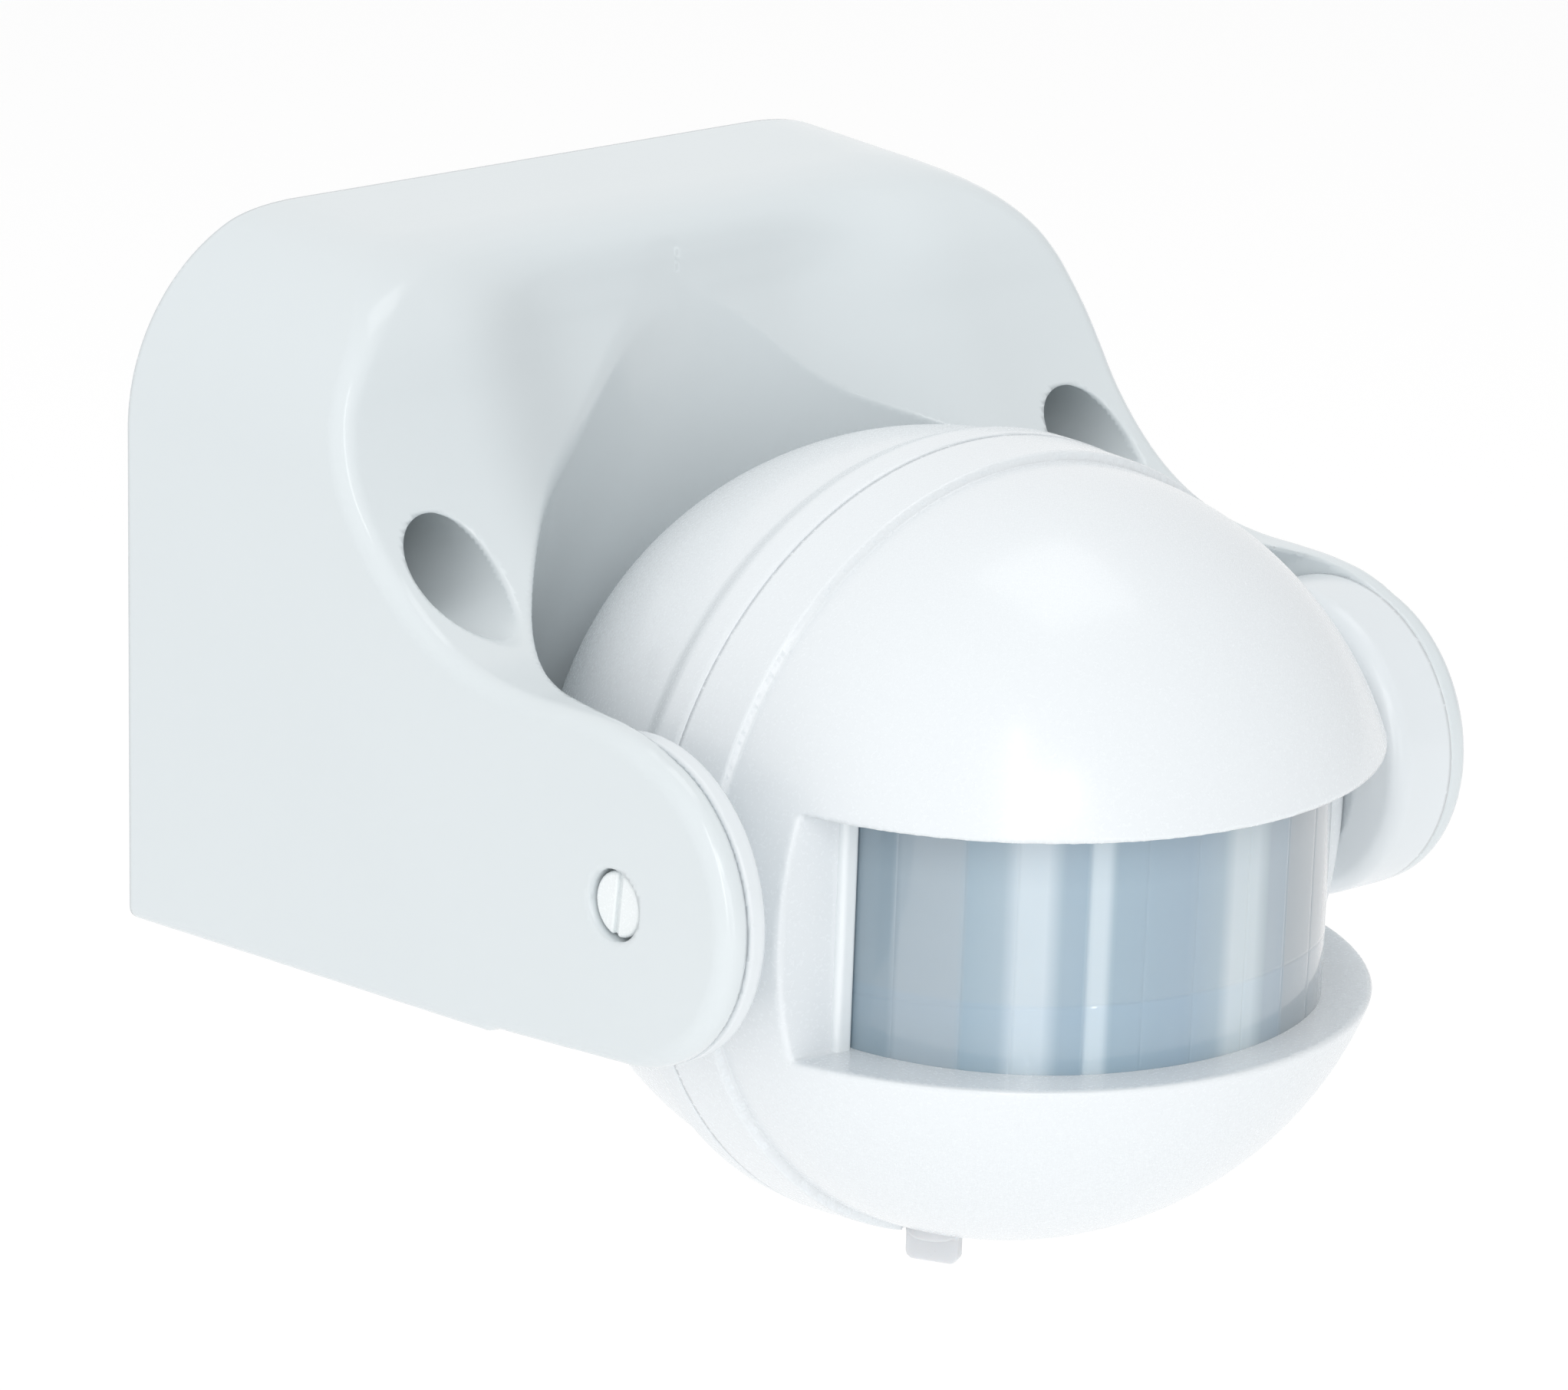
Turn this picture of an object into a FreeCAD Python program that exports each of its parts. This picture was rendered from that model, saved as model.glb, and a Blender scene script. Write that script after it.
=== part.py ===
import FreeCAD, Part
import os, math
import Sketcher
from FreeCAD import Vector as V, Rotation, Placement

# Wall-mounted passive infrared motion sensor.
# +Z up, the front faces -Y, the wall is the plane y = 0, the origin is the centre of the wall face.
doc = FreeCAD.newDocument("motion_sensor")
dims = doc.addObject("Spreadsheet::Sheet", "dims")

CELLS = [
    ("base_width", 88.0), ("base_height", 62.5), ("base_drop", 30.0), ("corner_radius", 18.4),
    ("side_draft", 1.08), ("bottom_draft", 2.4), ("front_reach", 80.0), ("wall_thickness", 2.6),
    ("pivot_depth", 64.0), ("pivot_drop", 12.8), ("ear_radius", 13.75),
    ("ear_inner", 40.0), ("recess_radius", 42.8), ("apex_depth", 20.4), ("apex_height", 63.8),
    ("scoop_half", 27.5), ("scoop_flat", 18.0),
    ("tunnel_offset", 36.35), ("tunnel_height", 7.8), ("tunnel_radius", 4.25), ("tunnel_wall", 1.8),
    ("tunnel_floor", 9.0), ("housing_screw_radius", 1.5), ("housing_head_radius", 2.8), ("housing_head_height", 2.2),
    ("plate_gap", 0.3), ("plate_thickness", 2.4), ("wall_hole_spacing", 48.0), ("wall_hole_radius", 2.25),
    ("wall_hole_drop", 14.0), ("cable_hole_radius", 7.0), ("cable_bore_radius", 3.5), ("grommet_length", 6.0),
    ("grommet_flange", 9.0), ("seal_width", 1.6), ("seal_height", 1.2),
    ("terminal_width", 31.0), ("terminal_depth", 12.5), ("terminal_height", 15.0), ("terminal_rise", 14.0),
    ("terminal_pitch", 9.0), ("terminal_screw_radius", 1.75), ("clamp_size", 5.6),
    ("strap_width", 24.0), ("strap_height", 7.0), ("strap_thickness", 2.2), ("strap_rise", 0.5),
    ("screw_head_radius", 3.0), ("screw_head_height", 1.4), ("pivot_screw_radius", 1.75), ("pivot_bore_radius", 1.8),
    ("pivot_sink", 0.45), ("nut_flat", 6.0), ("nut_height", 2.4),
    ("head_tilt", 1.4), ("pivot_back", 0.75), ("pivot_above", 2.8),
    ("head_radius", 33.33), ("band_radius", 34.4), ("band_length", 6.05), ("shell_thickness", 2.2),
    ("dome_back", 9.2), ("dome_radius", 33.4), ("dome_rise", 0.1),
    ("hood_height", 10.5), ("lip_height", 10.7), ("jamb_depth", 7.9), ("jamb_thickness", 1.7), ("sill_thickness", 1.7),
    ("lens_radius", 27.4), ("lens_thickness", 0.8), ("lens_angle", 70.0), ("lens_above", 12.0), ("lens_below", 12.3),
    ("trunnion_gap", 0.3), ("trunnion_disc", 0.8), ("neck_radius", 8.0), ("spigot_radius", 5.2), ("spigot_end", 28.5),
    ("board_radius", 26.0), ("board_thickness", 1.6), ("board_front", 3.0),
    ("can_radius", 4.6), ("can_height", 4.2), ("can_gap", 1.6), ("shade_radius", 7.0),
    ("knob_offset", 7.3), ("knob_radius", 2.35), ("knob_hole", 2.8), ("knob_bottom", 35.45), ("knob_stem", 33.1), ("knob_back", -1.0), ("knob_blade", 1.5), ("knob_top", 26.0),
    ("relay_width", 19.0), ("relay_depth", 15.3), ("relay_height", 15.5),
]
for i, (name, value) in enumerate(CELLS):
    dims.set("A%d" % (i + 1), name)
    dims.set("B%d" % (i + 1), str(value))
    dims.setAlias("B%d" % (i + 1), name)
doc.recompute()
G = lambda name: float(getattr(dims, name))


def ex(text):
    # {alias} stands for a cell of the sheet
    return text.replace("{", "dims.").replace("}", "")


def bind(obj, **props):
    for prop, text in props.items():
        obj.setExpression(prop.replace("__", "."), ex(text) if isinstance(text, str) else str(text))
    return obj


def prim(kind, name, rot=None, at=(None, None, None), **props):
    obj = doc.addObject("Part::" + kind, name)
    if rot is not None:
        obj.Placement = Placement(V(0, 0, 0), rot)
    for prop, text in props.items():
        obj.setExpression(prop, ex(text))
    for axis, text in zip("xyz", at):
        if text is not None:
            obj.setExpression("Placement.Base." + axis, ex(text))
    return obj


ROT_Y = Rotation(V(1, 0, 0), 90)      # a cylinder's axis towards -Y
ROT_X = Rotation(V(0, 1, 0), 90)      # a cylinder's axis towards +X


def cut(name, base, *tools):
    tool = tools[0] if len(tools) == 1 else fuse(name + "_tools", *tools)
    obj = doc.addObject("Part::Cut", name)
    obj.Base, obj.Tool = base, tool
    return obj


def fuse(name, *shapes):
    obj = doc.addObject("Part::MultiFuse", name)
    obj.Shapes = list(shapes)
    return obj


def common(name, *shapes):
    obj = doc.addObject("Part::MultiCommon", name)
    obj.Shapes = list(shapes)
    return obj


def compound(name, *shapes):
    obj = doc.addObject("Part::Compound", name)
    obj.Links = list(shapes)
    return obj


def raw(name, shape):
    obj = doc.addObject("Part::Feature", name)
    obj.Shape = shape
    return obj


def extrude(name, base, direction, fwd, back="0"):
    obj = doc.addObject("Part::Extrusion", name)
    obj.Base, obj.DirMode, obj.Dir, obj.Solid = base, "Custom", V(*direction), True
    bind(obj, LengthFwd=fwd, LengthRev=back)
    return obj


def box(name, x0, x1, y0, y1, z0, z1):
    return prim("Box", name, at=(x0, y0, z0), Length="(%s)-(%s)" % (x1, x0), Width="(%s)-(%s)" % (y1, y0),
                Height="(%s)-(%s)" % (z1, z0))


def cyl_y(name, radius, length, x, y, z):
    # runs from y towards -Y
    return prim("Cylinder", name, ROT_Y, (x, y, z), Radius=radius, Height=length)


def cyl_x(name, radius, length, x, y, z):
    # runs from x towards +X
    return prim("Cylinder", name, ROT_X, (x, y, z), Radius=radius, Height=length)


def cyl_z(name, radius, length, x, y, z):
    return prim("Cylinder", name, None, (x, y, z), Radius=radius, Height=length)


NODES = {}


def node(name, obj, head=False):
    if head and obj.TypeId in ("Part::Box", "Part::Torus"):
        obj = compound(name + "_group", obj)
    obj.Label = name
    NODES[name] = obj
    if head:
        obj.Placement = Placement(V(0, 0, 0), Rotation(V(1, 0, 0), G("head_tilt")))
        bind(obj, **{"Placement__Base__y": "-{pivot_depth}-({pivot_back}*cos({head_tilt}*1 deg)-{pivot_above}*sin({head_tilt}*1 deg))",
                     "Placement__Base__z": "-{pivot_drop}-({pivot_back}*sin({head_tilt}*1 deg)+{pivot_above}*cos({head_tilt}*1 deg))"})
    return obj


def make_body(name):
    return doc.addObject("PartDesign::Body", name)


def plane(body, role):
    for item in body.Origin.OriginFeatures:
        if item.Role == role:
            return item


def sketch(body, name, role, offset=None):
    sk = body.newObject("Sketcher::SketchObject", name)
    sk.AttachmentSupport = [(plane(body, role), "")]
    sk.MapMode = "FlatFace"
    return sk


def circle(sk, x, y, radius):
    i = sk.addGeometry(Part.Circle(V(0, 0, 0), V(0, 0, 1), 1.0))
    c = []
    c.append(sk.addConstraint(Sketcher.Constraint("Radius", i, 1.0)))
    sk.setExpression("Constraints[%d]" % c[-1], ex(radius))
    for text, kind in ((x, "DistanceX"), (y, "DistanceY")):
        k = sk.addConstraint(Sketcher.Constraint(kind, -1, 1, i, 3, 1.0))
        sk.setExpression("Constraints[%d]" % k, ex(text))
    return i


def polygon(sk, pts):
    # closed outline; each corner bound to the sheet
    n = len(pts)
    first = None
    ids = []
    for k in range(n):
        a = V(k * 1.0, k * k * 0.1, 0)
        b = V(k + 1.0, (k + 1) ** 2 * 0.1, 0)
        ids.append(sk.addGeometry(Part.LineSegment(a, b)))
    for k in range(n):
        sk.addConstraint(Sketcher.Constraint("Coincident", ids[k], 2, ids[(k + 1) % n], 1))
    for k, (x, y) in enumerate(pts):
        for text, kind in ((x, "DistanceX"), (y, "DistanceY")):
            c = sk.addConstraint(Sketcher.Constraint(kind, -1, 1, ids[k], 1, 1.0))
            sk.setExpression("Constraints[%d]" % c, ex(text))
    return ids


def turned(name, pts, role="XY_Plane", axis="V_Axis"):
    # a turned piece: closed outline revolved about an axis of its own sketch
    body = make_body(name)
    sk = sketch(body, name + "_outline", role)
    polygon(sk, pts)
    rev = body.newObject("PartDesign::Revolution", name + "_revolve")
    rev.Profile = sk
    rev.ReferenceAxis = (sk, [axis])
    rev.Angle = 360.0
    return body


# ---------------------------------------------------------------- bracket housing
W, H, DROP, RC = G("base_width"), G("base_height"), G("base_drop"), G("corner_radius")
TX, TZ = math.tan(math.radians(G("side_draft"))), math.tan(math.radians(G("bottom_draft")))
REACH = G("front_reach")


def arch_wire(depth, inset, back=0.0):
    # rounded-top outline of the housing at one distance from the wall
    hw = W / 2 - TX * depth - inset
    z0 = -DROP + TZ * depth + inset
    z1 = H - DROP - TZ * depth - inset
    r = RC - inset
    rb = max(0.9 - inset * 0.2, 0.4)
    y = -depth + back
    s = math.sqrt(0.5)
    p = [V(-hw + rb, y, z0), V(hw - rb, y, z0), V(hw, y, z0 + rb), V(hw, y, z1 - r), V(hw - r, y, z1), V(-hw + r, y, z1),
         V(-hw, y, z1 - r), V(-hw, y, z0 + rb)]
    e = [Part.LineSegment(p[0], p[1]).toShape(),
         Part.Arc(p[1], V(hw - rb + rb * s, y, z0 + rb - rb * s), p[2]).toShape(),
         Part.LineSegment(p[2], p[3]).toShape(),
         Part.Arc(p[3], V(hw - r + r * s, y, z1 - r + r * s), p[4]).toShape(),
         Part.LineSegment(p[4], p[5]).toShape(),
         Part.Arc(p[5], V(-hw + r - r * s, y, z1 - r + r * s), p[6]).toShape(),
         Part.LineSegment(p[6], p[7]).toShape(),
         Part.Arc(p[7], V(-hw + rb - rb * s, y, z0 + rb - rb * s), p[0]).toShape()]
    return Part.Wire(e)


arch_back = raw("arch_back", arch_wire(0.0, 0.0))
arch_front = raw("arch_front", arch_wire(REACH, 0.0))
arch = doc.addObject("Part::Loft", "arch_block")
arch.Sections, arch.Solid, arch.Ruled = [arch_back, arch_front], True, True

# side outline: top, soft shoulder, S-curve and round ear; (distance from wall, height above the bottom edge)
EDGE = [(15.0, 61.85), (18.0, 61.25), (21.0, 60.05), (23.6, 58.1), (25.4, 55.6), (26.4, 52.9), (27.2, 50.2), (28.3, 47.6),
        (29.6, 45.0), (31.2, 42.5), (33.2, 40.1), (35.6, 37.8), (38.5, 35.6), (42.0, 33.65), (46.5, 32.05), (52.0, 31.25),
        (58.0, 30.97)]
# middle of the front face: a straight slope set back from the side outline
MIDDLE = [(14.0, 61.9), (16.6, 61.5), (18.7, 60.7), (20.1, 59.4), (20.7, 57.7), (20.75, 55.8), (21.0, 53.6), (21.75, 51.2),
          (22.8, 48.4), (23.95, 45.4), (25.1, 42.4), (26.2, 39.5), (27.3, 36.6), (28.5, 33.6), (29.5, 31.0), (30.5, 28.2),
          (31.5, 25.0)]
PZ = DROP - G("pivot_drop")
RE = G("ear_radius")
PD = G("pivot_depth")


def side_face(x):
    pts = [V(x, -d, z - DROP) for d, z in EDGE] + [V(x, -PD, PZ - DROP + RE)]
    curve = Part.BSplineCurve()
    curve.interpolate(pts, InitialTangent=V(0, -3, -3 * TZ), FinalTangent=V(0, -6, 0))
    arc = Part.Arc(V(x, -PD, PZ - DROP + RE), V(x, -PD - RE, PZ - DROP), V(x, -PD, PZ - DROP - RE))
    # the ear's underside runs back along the drafted bottom
    a = V(x, -PD, PZ - DROP - RE)
    c = V(x, 2, -DROP - 2)
    top = [V(x, 2, 61.85 - DROP + 17 * TZ + 0.6), V(x, -15, 61.85 - DROP)]
    low = V(x, -PD + 15.0, -DROP + TZ * (PD - 15.0) - 0.02)
    drop = V(x, -PD + 15.0, -DROP - 2)
    edges = [curve.toShape(), arc.toShape(), Part.LineSegment(a, low).toShape(), Part.LineSegment(low, drop).toShape(),
             Part.LineSegment(drop, c).toShape(), Part.LineSegment(c, top[0]).toShape(),
             Part.LineSegment(top[0], top[1]).toShape()]
    return Part.Face(Part.Wire(Part.__sortEdges__(edges)))


side_outline = raw("side_outline", side_face(-60.0))
side_prism = extrude("side_prism", side_outline, (1, 0, 0), "120")
outer = common("housing_outer", arch, side_prism)
doc.recompute()



def outline_at(points, z):
    # distance from the wall of an outline at height z
    for (d0, z0), (d1, z1) in zip(points, points[1:]):
        if z1 <= z <= z0:
            return d0 + (d1 - d0) * (z0 - z) / (z0 - z1)
    return points[0][0] if z > points[0][1] else points[-1][0]


def scoop_section(x):
    # closed section of the soft hollow in the middle of the front face
    t = (G("scoop_half") + 0.5 - abs(x)) / (G("scoop_half") + 0.5 - G("scoop_flat"))
    t = max(-0.08, min(1.0, t))
    s = 3 * t * t - 2 * t ** 3 if t > 0 else t * 0.6
    pts = []
    for d, z in MIDDLE:
        a = min(outline_at(EDGE, z), 38.0)
        pts.append(V(x, -(a + (d - a) * s), z - DROP))
    first = V(x, pts[0].y + 3.0, pts[0].z + 0.45)
    curve = Part.BSplineCurve()
    curve.interpolate([first] + pts)
    a, b = first, pts[-1]
    c, d, e = V(x, -90, b.z), V(x, -90, 45), V(x, first.y, 45)
    return Part.Wire([curve.toShape(), Part.LineSegment(b, c).toShape(), Part.LineSegment(c, d).toShape(),
                      Part.LineSegment(d, e).toShape(), Part.LineSegment(e, a).toShape()])


scoop_at = [-28.5, -27.0, -25.2, -23.4, -21.6, -19.8, -18.0, -13.0, -6.5, 0.0]
scoop_at = scoop_at + [-x for x in reversed(scoop_at[:-1])]
scoop = doc.addObject("Part::Loft", "scoop")
scoop.Sections = [raw("scoop_section_%d" % i, scoop_section(x)) for i, x in enumerate(scoop_at)]
scoop.Solid, scoop.Ruled = True, False

# room for the head between the ears: a sphere about the pivot with a tapering hollow above it
L_CONE = "sqrt(({pivot_depth}-{apex_depth})^2+({apex_height}+{pivot_drop})^2)"


def ball_room(tag, extra):
    ball = prim("Sphere", "room_ball_" + tag, None, ("0", "-{pivot_depth}", "-{pivot_drop}"), Radius="{recess_radius}+" + extra)
    grow = float(room_growth[tag])
    dd, dz = G("pivot_depth") - G("apex_depth"), G("apex_height") + G("pivot_drop")
    length = math.hypot(dd, dz)
    sin_a = G("recess_radius") / length
    shift = grow / sin_a
    cos_a = math.sqrt(1 - sin_a ** 2)
    axis = V(0, -dd / length, -dz / length)
    tip = V(0, -G("apex_depth"), G("apex_height")) - axis * shift
    high = (length + shift) * cos_a ** 2
    cone = doc.addObject("Part::Cone", "room_cone_" + tag)
    cone.Radius1, cone.Radius2, cone.Height = 0.0, high * sin_a / cos_a, high
    cone.Placement = Placement(tip, Rotation(V(0, 0, 1), axis))
    return fuse("room_" + tag, ball, cone)


room_growth = {"inner": 0.0, "shell": G("wall_thickness")}
room = ball_room("inner", "0")
room_slab = box("room_slab", "-{ear_inner}", "{ear_inner}", "-130", "-15", "-90", "60")
room_cut = common("room_cut", room, room_slab)
room_shell = ball_room("shell", "{wall_thickness}")
shell_slab = box("shell_slab", "-{ear_inner}-{wall_thickness}", "{ear_inner}+{wall_thickness}", "-130", "-10", "-90", "60")
room_keep = common("room_keep", room_shell, shell_slab)

# hollow behind the front face
T = G("wall_thickness")
cavity_back = raw("cavity_back", arch_wire(0.0, T, 1.0))
cavity_front = raw("cavity_front", arch_wire(REACH, T))
cavity_arch = doc.addObject("Part::Loft", "cavity_arch")
cavity_arch.Sections, cavity_arch.Solid, cavity_arch.Ruled = [cavity_back, cavity_front], True, True
CAV = [(-1, 70), (13.2, 70), (13.2, 58.9), (16.2, 57.2), (17.6, 54.5), (18.2, 51), (19.6, 47), (22.4, 40), (24.4, 35.5), (28, 30),
       (34, 24), (34, -5), (-1, -5)]
cavity_face = raw("cavity_outline", Part.Face(Part.makePolygon([V(-60, -d, z - DROP) for d, z in CAV + CAV[:1]])))
cavity_prism = extrude("cavity_prism", cavity_face, (1, 0, 0), "120")
cavity_block = common("cavity_block", cavity_arch, cavity_prism)
tunnel_tubes = [cyl_y("tunnel_tube_" + s, "{tunnel_radius}+{tunnel_wall}", "60", x, "-{plate_thickness}-0.3", "{tunnel_height}")
                for s, x in (("left", "-{tunnel_offset}"), ("right", "{tunnel_offset}"))]
cavity = cut("cavity", cavity_block, room_keep, *tunnel_tubes)
tunnels, screw_ways = [], []
for s, x in (("left", "-{tunnel_offset}"), ("right", "{tunnel_offset}")):
    tunnels.append(cyl_y("tunnel_" + s, "{tunnel_radius}", "60", x, "-{tunnel_floor}", "{tunnel_height}"))
    screw_ways.append(cyl_y("screw_way_" + s, "{housing_screw_radius}", "20", x, "5", "{tunnel_height}"))
pivot_ways = [cyl_x("pivot_way", "{pivot_bore_radius}", "120", "-60", "-{pivot_depth}", "-{pivot_drop}")]
EAR_OUT = "({base_width}/2-tan({side_draft}*1 deg)*{pivot_depth})"
SINK = EAR_OUT + "-{pivot_sink}-{screw_head_height}"
pivot_ways.append(cyl_x("head_seat_left", "{screw_head_radius}+0.3", "20", "-20-(" + SINK + ")", "-{pivot_depth}", "-{pivot_drop}"))
pivot_ways.append(cyl_x("head_seat_right", "{screw_head_radius}+0.3", "20", SINK, "-{pivot_depth}", "-{pivot_drop}"))
front_cut = cut("front_cut", outer, scoop)
housing = cut("bracket_housing_solid", front_cut, room_cut, cavity, *(tunnels + screw_ways + pivot_ways))
node("bracket_housing", housing)

# ---------------------------------------------------------------- wall plate and wiring inside the bracket
plate = make_body("wall_plate_body")
plate_wire = raw("plate_outline", arch_wire(0.0, T + G("plate_gap")))
pad_sketch = sketch(plate, "plate_sketch", "XZ_Plane")
hw, zb, zt, pr = (W / 2 - T - G("plate_gap"), -DROP + T + G("plate_gap"), H - DROP - T - G("plate_gap"), RC - T - G("plate_gap"))
ids = [pad_sketch.addGeometry(Part.LineSegment(V(-hw, zb, 0), V(hw, zb, 0))),
       pad_sketch.addGeometry(Part.LineSegment(V(hw, zb, 0), V(hw, zt - pr, 0))),
       pad_sketch.addGeometry(Part.ArcOfCircle(Part.Circle(V(hw - pr, zt - pr, 0), V(0, 0, 1), pr), 0, math.pi / 2)),
       pad_sketch.addGeometry(Part.LineSegment(V(hw - pr, zt, 0), V(-hw + pr, zt, 0))),
       pad_sketch.addGeometry(Part.ArcOfCircle(Part.Circle(V(-hw + pr, zt - pr, 0), V(0, 0, 1), pr), math.pi / 2, math.pi)),
       pad_sketch.addGeometry(Part.LineSegment(V(-hw, zt - pr, 0), V(-hw, zb, 0)))]
for a, pa, b, pb in ((0, 2, 1, 1), (5, 2, 0, 1)):
    pad_sketch.addConstraint(Sketcher.Constraint("Coincident", ids[a], pa, ids[b], pb))
for a, pa, b, pb in ((1, 2, 2, 1), (2, 2, 3, 1), (3, 2, 4, 1), (4, 2, 5, 1)):
    pad_sketch.addConstraint(Sketcher.Constraint("Tangent", ids[a], pa, ids[b], pb))
for a in (0, 3):
    pad_sketch.addConstraint(Sketcher.Constraint("Horizontal", ids[a]))
for a in (1, 5):
    pad_sketch.addConstraint(Sketcher.Constraint("Vertical", ids[a]))
for kind, a, pa, value, text in (("DistanceX", 0, 2, hw, "{base_width}/2-{wall_thickness}-{plate_gap}"),
                                 ("DistanceX", 5, 1, -hw, "-({base_width}/2-{wall_thickness}-{plate_gap})"),
                                 ("DistanceY", 0, 1, zb, "-{base_drop}+{wall_thickness}+{plate_gap}"),
                                 ("DistanceY", 3, 1, zt, "{base_height}-{base_drop}-{wall_thickness}-{plate_gap}")):
    c = pad_sketch.addConstraint(Sketcher.Constraint(kind, -1, 1, ids[a], pa, value))
    pad_sketch.setExpression("Constraints[%d]" % c, ex(text))
for a in (2, 4):
    c = pad_sketch.addConstraint(Sketcher.Constraint("Radius", ids[a], pr))
    pad_sketch.setExpression("Constraints[%d]" % c, ex("{corner_radius}-{wall_thickness}-{plate_gap}"))
pad = plate.newObject("PartDesign::Pad", "plate_pad")
pad.Profile = pad_sketch
bind(pad, Length="{plate_thickness}")
doc.recompute()
plate_dir = pad.Shape.BoundBox.YMax > 0.1      # the plate lies in front of the wall plane, towards -Y
pad.Reversed = plate_dir
doc.recompute()


def plate_pocket(name, circles):
    sk = sketch(plate, name + "_sketch", "XZ_Plane")
    for x, z, r in circles:
        circle(sk, x, z, r)
    pk = plate.newObject("PartDesign::Pocket", name)
    pk.Profile = sk
    pk.Type = "ThroughAll"
    pk.Midplane = True
    doc.recompute()
    return pk


plate_pocket("wall_screw_holes", [("-{wall_hole_spacing}/2", "-{wall_hole_drop}", "{wall_hole_radius}"),
                                  ("{wall_hole_spacing}/2", "-{wall_hole_drop}", "{wall_hole_radius}")])
plate_pocket("cable_hole", [("0", "-{wall_hole_drop}", "{cable_hole_radius}")])
plate_pocket("housing_screw_holes", [("-{tunnel_offset}", "{tunnel_height}", "{housing_screw_radius}"),
                                     ("{tunnel_offset}", "{tunnel_height}", "{housing_screw_radius}")])
plate_pocket("pilot_holes", [("-{terminal_pitch}/2", "{terminal_rise}", "1.22"), ("{terminal_pitch}/2", "{terminal_rise}", "1.22"),
                             ("-{strap_width}/2+3", "{strap_rise}", "1.32"), ("{strap_width}/2-3", "{strap_rise}", "1.32")])
node("wall_plate", plate)

# foam strip between the plate and the housing wall
seal_out = raw("seal_out", Part.Face(arch_wire(0.0, T + 0.35)))
seal_in = raw("seal_in", Part.Face(arch_wire(0.0, T + 0.35 + G("seal_width"))))
seal_a = extrude("seal_a", seal_out, (0, -1, 0), "{plate_thickness}+{seal_height}")
seal_b = extrude("seal_b", seal_in, (0, -1, 0), "{plate_thickness}+{seal_height}+1", "1")
seal_c = extrude("seal_c", raw("seal_face", Part.Face(arch_wire(0.0, 0.5))), (0, -1, 0), "{plate_thickness}", "1")
seal_tubes = [cyl_y("seal_clear_" + n, "{tunnel_radius}+{tunnel_wall}+0.2", "20", x, "5", "{tunnel_height}")
              for n, x in (("left", "-{tunnel_offset}"), ("right", "{tunnel_offset}"))]
node("plate_seal", cut("plate_seal_solid", seal_a, seal_b, seal_c, *seal_tubes))

# rubber grommet: a flange each side of the plate and a collar with the cable bore
g1 = cyl_y("grommet_collar", "{cable_hole_radius}", "{plate_thickness}", "0", "0", "-{wall_hole_drop}")
g2 = cyl_y("grommet_front", "{grommet_flange}", "1.6", "0", "-{plate_thickness}", "-{wall_hole_drop}")
g3 = prim("Cone", "grommet_nose", ROT_Y, ("0", "-{plate_thickness}-1.6", "-{wall_hole_drop}"), Radius1="{cable_hole_radius}-1",
          Radius2="{cable_bore_radius}+0.9", Height="{grommet_length}-{plate_thickness}-1.6")
g4 = cyl_y("grommet_bore", "{cable_bore_radius}", "20", "0", "5", "-{wall_hole_drop}")
node("cable_grommet", cut("cable_grommet_solid", fuse("grommet_body", g1, g2, g3), g4))

# terminal block with three ways
tb = box("terminal_body", "-{terminal_width}/2", "{terminal_width}/2", "-{plate_thickness}-{terminal_depth}", "-{plate_thickness}",
         "{terminal_rise}-{terminal_height}/2", "{terminal_rise}+{terminal_height}/2")
tb_tools, tb_clamps, tb_screws = [], [], []
for k, x in enumerate(("-{terminal_pitch}", "0", "{terminal_pitch}")):
    tb_tools.append(cyl_y("terminal_well_%d" % k, "{terminal_screw_radius}+0.5", "6", x, "-{plate_thickness}-{terminal_depth}+4",
                          "{terminal_rise}"))
    tb_tools.append(box("terminal_way_%d" % k, x + "-{clamp_size}/2", x + "+{clamp_size}/2",
                        "-{plate_thickness}-{terminal_depth}+3.4", "-{plate_thickness}-{terminal_depth}+3.4+{clamp_size}",
                        "{terminal_rise}-{terminal_height}", "{terminal_rise}+{terminal_height}"))
    c0 = box("clamp_block_%d" % k, x + "-{clamp_size}/2+0.1", x + "+{clamp_size}/2-0.1",
             "-{plate_thickness}-{terminal_depth}+3.5", "-{plate_thickness}-{terminal_depth}+3.3+{clamp_size}",
             "{terminal_rise}-5", "{terminal_rise}+5")
    c1 = cyl_z("clamp_bore_%d" % k, "1.6", "20", x, "-{plate_thickness}-{terminal_depth}+3.4+{clamp_size}/2+0.6", "{terminal_rise}-10")
    c2 = cyl_y("clamp_thread_%d" % k, "1.25", "3", x, "-{plate_thickness}-{terminal_depth}+5.6", "{terminal_rise}")
    tb_clamps.append(cut("terminal_clamp_%d" % k, c0, c1, c2))
    s0 = cyl_y("terminal_screw_head_%d" % k, "{terminal_screw_radius}", "2.2", x, "-{plate_thickness}-{terminal_depth}+3.3",
               "{terminal_rise}")
    s1 = cyl_y("terminal_screw_shank_%d" % k, "1.25", "2", x, "-{plate_thickness}-{terminal_depth}+4.9", "{terminal_rise}")
    s2 = box("terminal_screw_slot_%d" % k, x + "-3", x + "+3", "-{plate_thickness}-{terminal_depth}-1",
             "-{plate_thickness}-{terminal_depth}+1.9", "{terminal_rise}-0.3", "{terminal_rise}+0.3")
    tb_screws.append(cut("terminal_screw_%d" % k, fuse("terminal_screw_body_%d" % k, s0, s1), s2))
tb_fix = []
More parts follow.
